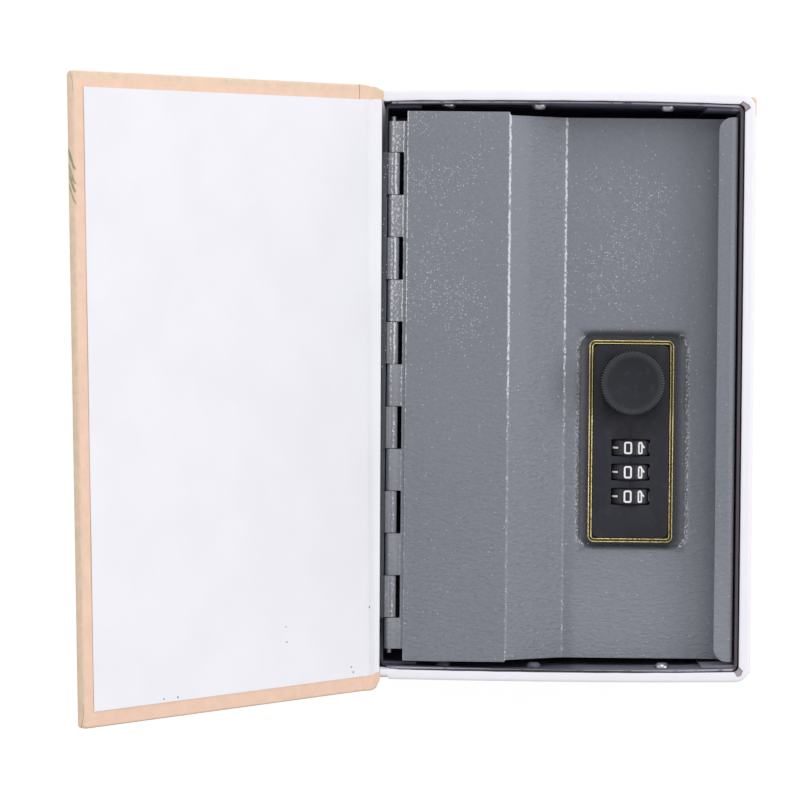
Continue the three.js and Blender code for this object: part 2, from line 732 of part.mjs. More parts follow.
function coverScrewPlaces() {
  const dx = housingWidth / 2 - coverScrewInset;
  const dy = housingLength / 2 - coverScrewInset;
  return [[1, 1], [-1, 1], [-1, -1], [1, -1]].map(([sx, sy]) => [lockX + sx * dx, lockY + sy * dy]);
}

function lockFace() {
  const inset = rimWidth + rimGap;
  const face = prism(roundedRectangle(lockX, lockY, lockWidth - 2 * inset, lockLength - 2 * inset,
    lockCorner - inset), flangeTop, faceTop);
  const windows = wheelYs.map((y) => block(lockX - windowWidth / 2, lockX + windowWidth / 2,
      y - windowLength / 2,
    y + windowLength / 2, flangeTop - 1, faceTop + 1));
  const bore = rodZ(lockX, knobY, spindleRadius + spindleClearance, flangeTop - 1, faceTop + 1);
  return cut(face, ...windows, bore);
}

function lockRim() {
  const top = faceTop + rimRise;
  const grooveWidth = rimWidth / 3;
  const ring = (inset) => roundedRectangle(lockX, lockY, lockWidth - 2 * inset, lockLength - 2 * inset,
    lockCorner - inset);
  const frame = cut(prism(ring(0), flangeTop, top), prism(ring(rimWidth), flangeTop - 1, top + 1));
  const groove = cut(prism(ring(grooveWidth), top - rimGroove, top + 1),
    prism(ring(2 * grooveWidth), top - rimGroove - 1, top + 2));
  return cut(frame, groove);
}

function lockBackCover() {
  const plate = prism(roundedRectangle(lockX, lockY, housingWidth, housingLength, 0.8),
      backCoverBottom, housingBottom);
  const bore = rodZ(lockX, knobY, spindleRadius + spindleClearance, backCoverBottom - 1,
      housingBottom + 1);
  const holes = coverScrewPlaces().map(([x, y]) => rodZ(x, y, coverScrewRadius + screwHoleClearance,
    backCoverBottom - 1, housingBottom + 1, 10));
  return cut(plate, bore, ...holes);
}

function backCoverScrew([x, y]) {
  const profile = [
    [0, -coverScrewHeadHeight], [0.7 * coverScrewHead, -coverScrewHeadHeight], [coverScrewHead, 0],
    [coverScrewRadius, 0], [coverScrewRadius, coverScrewLength], [0, coverScrewLength],
  ];
  return turned(profile, 12).translate(x, y, backCoverBottom);
}

function lockRetainer() {
  const ring = (grow, radius) => roundedRectangle(lockX, lockY, housingWidth + 2 * grow,
      housingLength + 2 * grow, radius);
  const top = pocketUnder - pasteGap;
  const outer = prism(ring(retainerWidth, 2), top - retainerThickness, top);
  return cut(outer, prism(ring(screwHoleClearance, 0.8), top - 2 * retainerThickness, top + 1));
}

// Code wheels with their gate rings
function codeWheel(y) {
  const half = wheelThickness / 2;
  const bevel = 0.3;
  const bore = axleRadius + axleClearance;
  const profile = [
    [bore, -half], [wheelRadius - bevel, -half], [wheelRadius, -half + bevel],
    [wheelRadius, half - bevel], [wheelRadius - bevel, half], [bore, half], [bore, -half],
  ];
  const wheel = new THREE.LatheGeometry(profile.map(([r, h]) => new THREE.Vector2(r, h)), 40);
  return wheel.translate(lockX, y, wheelAxisZ);
}

function gateRing(y) {
  const disc = rodY(lockX, wheelAxisZ, gateRingRadius, y, y + gateRingThickness, 24);
  const bore = rodY(lockX, wheelAxisZ, axleRadius + axleClearance, y - 1, y + gateRingThickness + 1, 16);
  const notch = block(lockX - gateNotchWidth / 2, lockX + gateNotchWidth / 2, y - 1,
      y + gateRingThickness + 1,
    wheelAxisZ - gateRingRadius - 1, wheelAxisZ - gateRingRadius + gateNotchDepth);
  return cut(disc, bore, notch);
}

function wheelAxle() {
  const play = 0.5 * axleClearance;
  return rodY(lockX, wheelAxisZ, axleRadius, wheelBayTail - axleSeat + play,
      wheelBayHead + axleSeat - play, 16);
}

// Detent spring: one sheet with a finger beside each wheel
function detentSpring() {
  const wall = lockX - wheelBayHalf;
  const low = housingBottom + stackGap;
  const foot = block(wall, wall + detentSheet, wheelBayTail + stackGap, wheelBayHead - stackGap, low,
      low + 1.5);
  const fingers = wheelYs.map((y) => block(wall, wall + detentSheet, y - detentFingerWidth / 2,
    y + detentFingerWidth / 2, low, wheelAxisZ - wheelRadius / 3));
  return join(foot, ...fingers);
}

// Locking bar: a tooth beneath each gate ring, its end over the spindle's collar
function lockingBar() {
  const end = knobY - spindleRadius - stackGap;
  const strip = block(lockX - barWidth / 2, lockX + barWidth / 2, wheelBayTail + stackGap, end,
    barBottom, barBottom + barThickness);
  const teeth = ringYs.map((y) => {
    const middle = y + gateRingThickness / 2;
    return block(lockX - gateNotchWidth / 2 + stackGap, lockX + gateNotchWidth / 2 - stackGap,
      middle - toothThickness / 2, middle + toothThickness / 2, barBottom, toothTop);
  });
  return join(strip, ...teeth);
}

// Knob: dished face inside a finely knurled rim
function knob() {
  const top = knobBottom + knobHeight;
  const bodyRadius = knobRadius - knurlDepth;
  const profile = [
    [0, 0], [bodyRadius, 0], [knobRadius - 2 * knurlDepth, knobHeight - 0.4],
    [knobRadius - 2 * knurlDepth - 0.4, knobHeight], [knobRadius - knobRimWidth, knobHeight],
    [knobRadius - knobRimWidth - 1, knobHeight - 0.75 * knobDish], [0, knobHeight - knobDish],
  ];
  const body = turned(profile, 48).translate(lockX, knobY, knobBottom);
  const points = [];
  for (let i = 0; i < 2 * knurlCount; i += 1) {
    const angle = (i * Math.PI) / knurlCount;
    const radius = i % 2 ? knobRadius - 2 * knurlDepth : knobRadius;
    points.push([lockX + radius * Math.cos(angle), knobY + radius * Math.sin(angle)]);
  }
  const knurl = prism(polygon(points), knobBottom + 0.8, top - 1);
  const socket = rodZ(lockX, knobY, spindleRadius + spindleClearance, knobBottom - 1,
      knobBottom + knobHeight / 2);
  return cut(join(body, knurl), socket);
}

function knobSpindle() {
  const shaft = rodZ(lockX, knobY, spindleRadius, clipBottom, knobBottom + knobHeight / 2 - stackGap);
  const collar = rodZ(lockX, knobY, collarRadius, collarBottom, collarTop);
  const half = spindleSquare / 2;
  const square = block(lockX - half, lockX + half, knobY - half, knobY + half,
      camBottom + stackGap / 2, clipBottom + 1);
  const hole = rodZ(lockX, knobY, camScrewRadius + screwHoleClearance, camBottom - 1,
      camBottom + camScrewLength + 0.5, 12);
  const groove = cut(rodZ(lockX, knobY, spindleRadius + 1, clipBottom, clipTop + 0.1),
    rodZ(lockX, knobY, spindleRadius - 0.5, clipBottom - 1, clipTop + 1));
  return cut(join(shaft, collar, square), hole, groove);
}

function spindleClip() {
  const ring = rodZ(lockX, knobY, clipRadius, clipBottom + 0.05, clipTop);
  const bore = rodZ(lockX, knobY, spindleRadius - 0.3, clipBottom - 1, clipTop + 1);
  const mouth = block(lockX - 2.2, lockX + 2.2, knobY, knobY + clipRadius + 1, clipBottom - 1,
      clipTop + 1);
  return cut(ring, bore, mouth);
}

// Cam, turned back towards the tail as it lies when unlocked
function cam() {
  const half = camWidth / 2;
  const tip = knobY - camReach;
  const shape = new THREE.Shape();
  shape.moveTo(lockX - half, knobY);
  shape.lineTo(lockX - half, tip + 3);
  shape.lineTo(lockX - half + 2, tip);
  shape.lineTo(lockX + half - 2, tip);
  shape.lineTo(lockX + half, tip + 3);
  shape.lineTo(lockX + half, knobY);
  shape.absarc(lockX, knobY, half, 0, Math.PI, false);
  const side = spindleSquare / 2 + spindleSquareClearance;
  const hole = block(lockX - side, lockX + side, knobY - side, knobY + side, camBottom - 1, camTop + 1);
  return cut(prism(shape, camBottom, camTop, 8), hole);
}

function camScrew() {
  const profile = [
    [0, -camScrewHeadHeight], [0.8 * camScrewHead, -camScrewHeadHeight], [camScrewHead,
        -0.4 * camScrewHeadHeight],
    [camScrewHead, 0], [camScrewRadius, 0], [camScrewRadius, camScrewLength], [0, camScrewLength],
  ];
  return turned(profile, 14).translate(lockX, knobY, camBottom - 0.05);
}

// Finishes
const finishes = {
  printedPaper: { color: 0xd9bfa0, roughness: 0.8, metalness: 0 },
  whitePaper: { color: 0xf0f0f4, roughness: 0.9, metalness: 0 },
  greyboard: { color: 0x8c7f80, roughness: 0.95, metalness: 0 },
  boxPaint: { color: 0x3a3c44, roughness: 0.5, metalness: 0.1 },
  lidPaint: { color: 0x7b7f87, roughness: 0.55, metalness: 0.2 },
  hingePaint: { color: 0x808086, roughness: 0.5, metalness: 0.3 },
  steel: { color: 0xa0a2a6, roughness: 0.35, metalness: 1 },
  blackPlastic: { color: 0x2a2a2e, roughness: 0.6, metalness: 0 },
  goldTrim: { color: 0xd8c070, roughness: 0.3, metalness: 1 },
  wheelPlastic: { color: 0x1c1c20, roughness: 0.4, metalness: 0 },
  brass: { color: 0xb89850, roughness: 0.4, metalness: 1 },
};

const safe = new THREE.Group();

function place(name, geometry, finish, parent = safe) {
  const material = new THREE.MeshStandardMaterial({ ...finishes[finish] });
  const mesh = new THREE.Mesh(geometry, material);
  mesh.name = name;
  parent.add(mesh);
  return mesh;
}

// The front cover is drawn closed and swung open round its hinge line
const openCover = new THREE.Group();
openCover.position.copy(coverHinge);
openCover.quaternion.setFromAxisAngle(coverAxis, THREE.MathUtils.degToRad(coverOpenAngle));
const closedCover = new THREE.Group();
closedCover.position.set(-coverHinge.x, -coverTailShift, -coverHinge.z);
openCover.add(closedCover);
safe.add(openCover);
place('front_board', frontBoard(), 'greyboard', closedCover);
place('front_cover_wrap', frontWrap(), 'printedPaper', closedCover);
place('front_endpaper', frontEndpaper(), 'whitePaper', closedCover);

place('cover_joint_fold', coverFold(), 'whitePaper');
place('spine_board', spineBoard(), 'greyboard');
place('back_board', backBoard(), 'greyboard');
place('case_wrap', caseWrap(), 'printedPaper');
place('gutter_paper', gutterPaper(), 'whitePaper');
place('back_endpaper', backEndpaper(), 'whitePaper');
place('page_frame', pageFrame(), 'greyboard');
place('page_paper', pagePaper(), 'whitePaper');

place('steel_box', tray(), 'boxPaint');
place('catch_bracket', catchBracket(), 'boxPaint');
trayScrews().forEach((spot, i) => place(`box_screw_${i + 1}`, trayScrew(spot), 'steel'));
place('box_hinge_leaf', boxHingeLeaf(), 'hingePaint');
place('hinge_pin', hingePin(), 'steel');

place('lid_hinge_leaf', lidHingeLeaf(), 'hingePaint');
place('lid_panel', lidPanel(), 'lidPaint');

place('lock_body', lockBody(), 'blackPlastic');
place('lock_face', lockFace(), 'blackPlastic');
place('lock_rim', lockRim(), 'goldTrim');
place('lock_back_cover', lockBackCover(), 'blackPlastic');
place('lock_retainer', lockRetainer(), 'steel');
coverScrewPlaces().forEach((spot, i) => place(`back_cover_screw_${i + 1}`, backCoverScrew(spot),
    'steel'));
wheelYs.forEach((y, i) => place(`code_wheel_${i + 1}`, codeWheel(y), 'wheelPlastic'));
ringYs.forEach((y, i) => place(`gate_ring_${i + 1}`, gateRing(y), 'brass'));
place('wheel_axle', wheelAxle(), 'steel');
place('detent_spring', detentSpring(), 'steel');
place('locking_bar', lockingBar(), 'steel');

place('knob', knob(), 'blackPlastic');
place('knob_spindle', knobSpindle(), 'steel');
place('spindle_clip', spindleClip(), 'steel');
place('cam', cam(), 'steel');
place('cam_screw', camScrew(), 'steel');

export default safe;
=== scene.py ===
import math

import bmesh
import bpy
from mathutils import Matrix, Vector


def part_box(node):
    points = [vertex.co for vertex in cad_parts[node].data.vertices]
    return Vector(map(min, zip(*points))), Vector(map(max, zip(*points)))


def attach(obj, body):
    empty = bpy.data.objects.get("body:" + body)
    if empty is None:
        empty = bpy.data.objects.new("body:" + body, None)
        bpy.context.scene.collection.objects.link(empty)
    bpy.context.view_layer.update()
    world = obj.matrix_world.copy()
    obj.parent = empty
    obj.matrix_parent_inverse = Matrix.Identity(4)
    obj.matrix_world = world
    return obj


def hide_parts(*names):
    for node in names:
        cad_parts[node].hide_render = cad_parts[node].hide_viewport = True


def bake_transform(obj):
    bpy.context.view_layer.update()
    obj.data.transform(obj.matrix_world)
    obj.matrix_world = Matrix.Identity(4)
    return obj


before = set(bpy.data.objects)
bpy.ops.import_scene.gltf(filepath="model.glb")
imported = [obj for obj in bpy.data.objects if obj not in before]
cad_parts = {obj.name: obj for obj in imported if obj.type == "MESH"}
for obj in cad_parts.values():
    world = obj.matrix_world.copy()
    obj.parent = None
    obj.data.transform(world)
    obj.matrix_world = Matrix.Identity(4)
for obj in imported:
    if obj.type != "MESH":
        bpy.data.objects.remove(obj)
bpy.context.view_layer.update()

bl_info = {
    "name": "Book diversion safe",
    "version": (1, 0, 0),
    "blender": (4, 5, 0),
    "location": "3D View > Sidebar > Book safe",
    "description": "Dresses the packed book safe with its papers, paint, lock and stage",
    "category": "Add Mesh",
}

MM = 0.001

# The case in millimetres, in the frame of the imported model
HALF_WIDTH = 60.2
BACK_RIGHT = 59.5
HALF_LENGTH = 90.5
THICKNESS = 55.0
COVER_INNER = 52.2
SPINE_TOP = 51.1
SPINE_INNER = -57.8
JOINT_WIDTH = 4.5
HINGE = Vector((-58.5, 0.0, 52.15))
ASKEW = math.radians(0.82)
HINGE_AXIS = Vector((math.sin(ASKEW), -math.cos(ASKEW), 0))
COVER_OPEN = math.radians(132)
COVER_TAIL_SHIFT = 0.8
OPEN = (Matrix.Translation(HINGE) @ Matrix.Rotation(COVER_OPEN, 4, HINGE_AXIS)
        @ Matrix.Translation(-HINGE - Vector((0, COVER_TAIL_SHIFT, 0))))
BOARD_START = HINGE.x + JOINT_WIDTH
BOARD_DEPTH = THICKNESS - COVER_INNER
# Thickness of the joint's and the page block's paper
PAPER = 0.28
# Where the paper of the joint bends, in metres: from the book's side to the cover's. Pieces handed it are
# left unattached to either body
JOINT_SPAN = (Vector((-58.2, 0, 50.6)) * MM, Vector((-60.3, 0, 54.2)) * MM)
# The printed paper laid flat: across from the closed book's middle, the spine and the back cover follow on
SPINE_PRINT = -HALF_WIDTH - THICKNESS
BACK_PRINT = -2 * HALF_WIDTH - THICKNESS

# How the long sides swell outwards: where most, how far to either side, and by how much
BOW_MIDDLE = 2.0
BOW_FORE = 53.0
BOW_SPINE = 75.0
WALL_BOW = 1.0
SCREW_BOW = 0.9
FRAME_BOW = 0.42

# The lid's section: its bends from its fore edge and below its top
LID_SHEET = 1.0
FLOOR_START = 51.05
SLOPE_WIDTH = 17.3
FLOOR_DEPTH = 10.7
LIP_WIDTH = 5.7
LIP_DROP = 1.8
LIP_CORNER = 4.0
WALL_SHORT_HEAD = 1.0
WALL_SHORT_TAIL = 0.6
# The pocket pressed for the lock: half its width and length, its corners, depth and place beside the lock
POCKET_HALF = (17.0, 33.05)
POCKET_CORNER = 5.0
POCKET_DEPTH = 2.0
POCKET_ASIDE = (0.5, 0.2)
HOLE_HALF = (11.3, 28.8)

# The wheels: where 0 stands at rest, the step from number to number, and the size of the numbers
ZERO_ANGLE = math.radians(-7.3)
NUMBER_STEP = math.radians(36)
NUMBER_WIDTH = 3.2
NUMBER_HEIGHT = 1.95

# Specks of dust on the endpaper: across from the closed book's middle, along it, and their size
DUST = [(-56.0, -65.6, 0.4), (-47.3, -82.8, 0.32), (-48.2, -84.4, 0.38), (-19.2, -68.6, 0.24),
        (-19.5, -73.1, 0.3), (24.7, -85.0, 0.34), (30.1, -85.0, 0.26)]


def tone(red, green, blue):
    """A colour written from 0 to 255, as the linear values that sockets take."""
    def linear(value):
        share = value / 255
        return share / 12.92 if share <= 0.04045 else ((share + 0.055) / 1.055) ** 2.4
    return (linear(red), linear(green), linear(blue))


def node_box(node):
    """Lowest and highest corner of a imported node, in millimetres."""
    low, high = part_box(node)
    return Vector(low) / MM, Vector(high) / MM


def node_middle(node):
    """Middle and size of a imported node, in millimetres."""
    low, high = node_box(node)
    return (low + high) / 2, high - low


def smooth(value):
    """0 below 0, 1 above 1, and a soft step between."""
    share = min(max(value, 0.0), 1.0)
    return share * share * (3 - 2 * share)


def between(low, high, step):
    """Even stops from low to high, no further apart than step."""
    count = max(1, math.ceil((high - low) / step - 1e-6))
    return [low + (high - low) * i / count for i in range(count + 1)]


# ---------------------------------------------------------------- settings

def millimetres(name, description, default):
    return bpy.props.FloatProperty(name=name, description=description, default=default, min=0.0)


def number(name, description, default):
    return bpy.props.FloatProperty(name=name, description=description, default=default)


def triple(name, description, default, subtype, unit):
    return bpy.props.FloatVectorProperty(name=name, description=description, default=default, size=3,
                                         subtype=subtype, unit=unit)


def colour(name, description, default):
    return bpy.props.FloatVectorProperty(name=name, description=description, default=default,
                                         size=3, subtype="COLOR", min=0.0, max=1.0)


class BookSafeBook(bpy.types.PropertyGroup):
    edge_rounding: millimetres("Edge rounding", "Radius of the paper round the board edges, mm", 0.6)
    wrap_thickness: millimetres("Wrap thickness", "Printed paper, mm", 0.3)
    turn_in: millimetres("Turn-in", "Width of the paper turned over the boards, mm", 14.0)
    fore_border: millimetres("Fore border", "Turn-in left bare beside the endpaper, mm", 3.7)
    head_border: millimetres("Head border", "Turn-in left bare above the endpaper, mm", 4.4)
    tail_border: millimetres("Tail border", "Turn-in left bare below the endpaper, mm", 4.5)
    corner_rounding: millimetres("Corner rounding", "Radius of the covers' corners, mm", 1.2)
    crease_depth: millimetres("Crease depth", "Dip of the endpaper along the joint, mm", 0.35)
    spine_pull: millimetres("Spine pull", "How far the spine's head end is drawn in at its top, mm", 1.5)
    print_colour: colour("Print", "Tan ground of the printed paper", tone(234, 209, 183))
    turn_in_colour: colour("Turn-in", "Peach colour of the turned edges", tone(241, 206, 184))
    line_colour: colour("Lines", "Brown of the ornament on the covers", tone(140, 96, 62))
    sprig_colour: colour("Sprig", "Green of the small marks by the fore edge", tone(120, 132, 98))
    paper_colour: colour("Endpaper", "White lining paper", tone(242, 242, 248))
    page_colour: colour("Page block", "White paper round the page block", tone(243, 242, 250))
    board_colour: colour("Greyboard", "Bare board", tone(132, 116, 120))


class BookSafeBox(bpy.types.PropertyGroup):
    bend_radius: millimetres("Bend radius", "Inner radius of the lid's bends, mm", 1.2)
    pocket_fade: millimetres("Pocket edge", "Width of the pressed edge round the lock, mm", 2.2)
    sheet_chamfer: millimetres("Sheet edge", "Rounding along cut sheet edges, mm", 0.16)
    paint_colour: colour("Lid paint", "Grey hammered paint", tone(125, 128, 138))
    box_colour: colour("Box paint", "Paint inside the box", tone(83, 85, 103))
    hinge_colour: colour("Hinge paint", "Paint on the hinge leaves", tone(132, 134, 142))
    # The colour of the painted glints and painted highlights in the paint
    glint_colour: colour("Glints", "Bright flecks in the paint", tone(226, 228, 234))


class BookSafeLock(bpy.types.PropertyGroup):
    rim_width: millimetres("Rim width", "Gold bead round the plate, mm", 1.35)
    rim_rise: millimetres("Rim rise", "Height of the bead above the plate, mm", 0.4)
    wheel_ridge: millimetres("Wheel ridge", "Height of the ridges between the numbers, mm", 0.22)
    stroke: millimetres("Stroke", "Thickness of the strokes of the numbers, mm", 0.6)
    knurl_depth: millimetres("Knurl depth", "Depth of the teeth on the knob, mm", 0.5)
    knurls: bpy.props.IntProperty(name="Knurls", description="Teeth round the knob", default=72, min=12)
    plate_colour: colour("Plate", "Black plastic of the plate", tone(35, 36, 45))
    knob_colour: colour("Knob", "Black plastic of the knob", tone(27, 29, 37))
    gold_colour: colour("Gold", "Gold of the rim", tone(255, 236, 178))
    number_colour: colour("Numbers", "White of the numbers", tone(252, 252, 254))


class BookSafeStage(bpy.types.PropertyGroup):
    lens: number("Lens", "Focal length on a 36 mm sensor, mm", 156.386)
    camera_place: triple("Camera", "Place of the camera", (-0.03901, 0.01669, 1.09254), "TRANSLATION",
                         "LENGTH")
    camera_turn: triple("Turn", "Turn of the camera", (0.02025, -0.01118, -0.00993), "EULER", "ROTATION")
    world_level: number("Room light", "Strength of the even light", 0.585)
    head_power: number("Head lamp", "Power of the large lamp at the head, W", 7.2)
    side_power: number("Side lamp", "Power of the lamp at the fore edge, W", 7.0)
    fill_power: number("Fill lamp", "Power of the lamp beside the open cover, W", 3.0)
    floor_colour: colour("Floor", "Pale floor", (0.9, 0.9, 0.9))
    shadow_share: number("Shadow", "Share of the shadow that shows", 0.1)


def settings(part):
    """The values of one part: book, box, lock or stage."""
    return getattr(bpy.context.scene, "book_safe_" + part)


# ---------------------------------------------------------------- materials

class Nodes:
    """Builds a node tree with short calls."""

    def __init__(self, tree):
        self.tree = tree

    def put(self, node, inputs):
        """Links or sets the inputs of a node."""
        for key, value in inputs.items():
            socket = node.inputs[key]
            if isinstance(value, bpy.types.NodeSocket):
                self.tree.links.new(value, socket)
            else:
                socket.default_value = value

    def add(self, kind, inputs=None, **options):
        node = self.tree.nodes.new("ShaderNode" + kind)
        for key, value in options.items():
            setattr(node, key, value)
        self.put(node, inputs or {})
        return node

    def place(self, attribute=None, scale=(1, 1, 1), turn=(0, 0, 0), move=(0, 0, 0)):
        """Coordinates of the piece in metres, or its own attribute, moved and scaled."""
        source = (self.add("Attribute", attribute_name=attribute).outputs["Vector"] if attribute
                  else self.add("TexCoord").outputs["Object"])
        inputs = {"Vector": source, "Scale": scale, "Rotation": turn, "Location": move}
        return self.add("Mapping", inputs).outputs[0]

    def split(self, vector):
        return self.add("SeparateXYZ", {"Vector": vector}).outputs

    def math(self, operation, first, second=0.0):
        return self.add("Math", {0: first, 1: second}, operation=operation).outputs[0]

    def chain(self, operation, values):
        """The operation over two or more values, from the first on."""
        result = values[0]
        for value in values[1:]:
            result = self.math(operation, result, value)
        return result

    def times(self, *values):
        return self.chain("MULTIPLY", values)

    def plus(self, *values):
        return self.chain("ADD", values)

    def most(self, *values):
        return self.chain("MAXIMUM", values)

    def least(self, *values):
        return self.chain("MINIMUM", values)

    def minus(self, first, second):
        return self.math("SUBTRACT", first, second)

    def over(self, first, second):
        return self.math("DIVIDE", first, second)

    def size(self, value):
        return self.math("ABSOLUTE", value)

    def noise(self, vector, scale, detail=2.0, roughness=0.5, distortion=0.0):
        return self.add("TexNoise", {"Vector": vector, "Scale": scale, "Detail": detail,
                                     "Roughness": roughness, "Distortion": distortion}).outputs["Fac"]

    def cells(self, vector, scale):
        return self.add("TexVoronoi", {"Vector": vector, "Scale": scale}).outputs

    def span(self, value, low, high, first=0.0, last=1.0):
        """From first to last as the value goes from low to high, with soft ends."""
        return self.add("MapRange", {"Value": value, "From Min": low, "From Max": high, "To Min": first,
                                     "To Max": last}, interpolation_type="SMOOTHSTEP").outputs["Result"]

    def band(self, value, middle, half, fade):
        """1 within half of middle, fading to 0 over fade."""
        away = self.size(self.minus(value, middle))
        return self.span(away, half, half + fade, 1.0, 0.0)

    def mix(self, share, first, second):
        """The first colour, with a share of the second in it."""
        first, second = (colour if isinstance(colour, bpy.types.NodeSocket) else (*colour, 1)
                         for colour in (first, second))
        node = self.add("Mix", {0: share}, data_type="RGBA")
        self.put(node, {6: first, 7: second})
        return node.outputs[2]

    def shade(self, value, colour, low, high):
        """The colour, darker and lighter by a pattern."""
        dark = tuple(part * low for part in colour)
        light = tuple(min(part * high, 1.0) for part in colour)
        return self.mix(value, dark, light)

    def apart(self, vector, point):
        """Distance from a point in metres."""
        return self.add("VectorMath", {0: vector, 1: point}, operation="DISTANCE").outputs["Value"]


class Finish(Nodes):
    """One material: its colour and relief are laid on in steps."""

    def __init__(self, name, shade, roughness=0.5, metallic=0.0, specular=0.5):
        self.material = bpy.data.materials.new(name)
        self.material.use_nodes = True
        super().__init__(self.material.node_tree)
        self.shader = self.tree.nodes["Principled BSDF"]
        self.put(self.shader, {"Base Color": (*shade, 1), "Roughness": roughness, "Metallic": metallic,
                               "Specular IOR Level": specular})
        self.material.diffuse_color = (*shade, 1)
        self.base = None
        self.normal = None

    def paint(self, share, colour):
        """Lays a share of the colour over what is there so far."""
        self.base = self.mix(share, self.base, colour)

    def relief(self, height, depth, strength):
        """Raises the surface by a pattern, by depth in millimetres, over the relief so far."""
        inputs = {"Height": height, "Distance": depth * MM, "Strength": strength}
        if self.normal is not None:
            inputs["Normal"] = self.normal
        self.normal = self.add("Bump", inputs).outputs[0]

    def finish(self, roughness):
        self.put(self.shader, {"Base Color": self.base, "Normal": self.normal, "Roughness": roughness})
        return self.material


def kept(make):
    """Makes a material once and hands the same one out afterwards."""
    def call(name, *details, **options):
        return bpy.data.materials.get(name) or make(name, *details, **options)
    return call


@kept
def printed_paper(name):
    """Printed paper: tan on the covers with a line ornament, peach where it is turned in."""
    book = settings("book")
    f = Finish(name, book.print_colour, roughness=0.62, specular=0.3)
    at = f.place("print")
    x, y, depth = f.split(at)
    across = f.over(x, MM)
    along = f.over(y, MM)
    deep = f.over(depth, MM)
    mottle = f.noise(at, 420, 5, 0.62)
    blotch = f.noise(at, 60, 3, 0.5)
    speck = f.noise(at, 1500, 3, 0.7)
    tan = f.shade(f.span(mottle, 0.3, 0.7), book.print_colour, 0.9, 1.03)
    tan = f.mix(f.span(blotch, 0.42, 0.66, 0, 0.4), tan, book.turn_in_colour)
    tan = f.mix(f.span(speck, 0.62, 0.74, 0, 0.22), tan, book.line_colour)
    # Frame lines and a ring of petals, the same on both boards, and bands on the spine
    middle = f.size(f.plus(across, HALF_WIDTH + THICKNESS / 2))
    edge_x = f.minus(2 * HALF_WIDTH + THICKNESS / 2, middle)
    inner_x = f.minus(middle, THICKNESS / 2 + 9.0)
    edge_y = f.minus(HALF_LENGTH, f.size(along))
    nearest = f.least(edge_x, inner_x, edge_y)
    lines = [f.band(nearest, 7.0, 0.35, 0.15), f.band(nearest, 9.2, 0.12, 0.12)]
    middle_x = f.minus(middle, HALF_WIDTH + THICKNESS / 2 + 4.5)
    radius = f.math("SQRT", f.plus(f.times(middle_x, middle_x), f.times(along, along)))
    turn = f.math("ARCTAN2", along, middle_x)
    petals = f.plus(f.times(f.math("COSINE", f.times(turn, 8.0)), 3.2), 17.0)
    lines.append(f.band(f.minus(radius, petals), 0.0, 0.28, 0.15))
    lines += [f.band(radius, ring, 0.28, 0.15) for ring in (24.0, 9.0)]
    bands = f.band(f.math("PINGPONG", f.plus(along, 300.0), 20.0), 10.0, 0.5, 0.15)
    lines.append(f.times(bands, f.span(middle, 25.2, 24.9)))
    worn = f.span(f.noise(at, 900, 3, 0.6), 0.34, 0.5, 0.35, 0.9)
    outside = f.span(deep, 0.2, 0.5, 1.0, 0.0)
    outer = f.mix(f.times(f.most(*lines), worn, outside), tan, book.line_colour)
    # The fore edge has painted shade, broken into streaks, where it rounds over beside the cover's face, and
    # carries a few green marks
    edge = f.span(across, 59.0, 59.6)
    darkened = f.times(f.band(deep, 0.5, 0.35, 0.5), edge)
    streak = f.span(f.noise(f.place("print", scale=(1, 0.05, 1)), 1500, 3, 0.6), 0.35, 0.65, 0.0, 0.12)
    outer = f.mix(f.times(darkened, streak), outer, book.line_colour)
    slant = f.plus(along, f.times(deep, 2.2))
    aside = f.minus(deep, 1.5)
    taper = f.minus(1.0, f.times(aside, aside, 0.5))
    leaves = []
    for place, wide in ((69.6, 1.1), (65.6, 0.7), (63.4, 1.0), (60.2, 0.5)):
        away = f.size(f.minus(slant, place))
        leaves.append(f.span(f.minus(away, f.times(taper, wide)), 0.0, 0.35, 0.8, 0.0))
    sprig = f.times(f.most(*leaves), edge, f.span(mottle, 0.3, 0.55, 0.45, 1.0))
    outer = f.mix(sprig, outer, book.sprig_colour)
    # The turned side: peach, with the tan print running over the head
    peach = f.shade(f.span(f.noise(at, 240, 4, 0.6), 0.3, 0.7), book.turn_in_colour, 0.955, 1.02)
    bleed = f.span(f.plus(along, f.times(f.minus(mottle, 0.5), 2.0)), 87.9, 88.6)
    inner = f.mix(f.times(bleed, 0.85), peach, tan)
    inner = f.mix(f.span(along, -90.0, -90.4, 0, 0.55), inner, book.line_colour)
    turned = f.times(f.span(deep, 2.2, 2.5), f.span(across, 59.9, 59.55))
    f.base = f.mix(turned, outer, inner)
    # The fold at each fore corner leaves a curved line
    fold = f.plus(deep, f.minus(HALF_WIDTH, across))
    curve = f.span(edge_y, 0.3, 4.0, 1.7, 2.75)
    pleat = f.times(f.band(f.minus(fold, curve), 0.0, 0.04, 0.14), f.span(edge_y, 7.5, 4.5))
    f.paint(f.times(pleat, 0.6, edge), book.line_colour)
    # The paste has whitened the back cover's inner edge, but not its head corner
    back_edge = BACK_PRINT - BACK_RIGHT
    pale = f.times(f.span(across, back_edge + 3, back_edge + 2), f.span(deep, 2.0, 2.3),
                   f.span(along, 85.5, 83.5))
    f.paint(f.times(pale, 0.8), tone(250, 247, 248))
    scuff = f.times(f.span(f.noise(at, 700, 4, 0.7), 0.58, 0.68, 0, 0.4),
                    f.span(f.least(edge_x, edge_y), 0.9, 0.2))
    f.paint(scuff, tone(214, 196, 172))
    fibre = f.noise(f.place("print", scale=(1, 0.35, 1)), 1600, 4, 0.6)
    f.relief(fibre, 0.035, 0.6)
    f.relief(mottle, 0.06, 0.5)
    return f.finish(f.span(fibre, 0.3, 0.7, 0.55, 0.72))


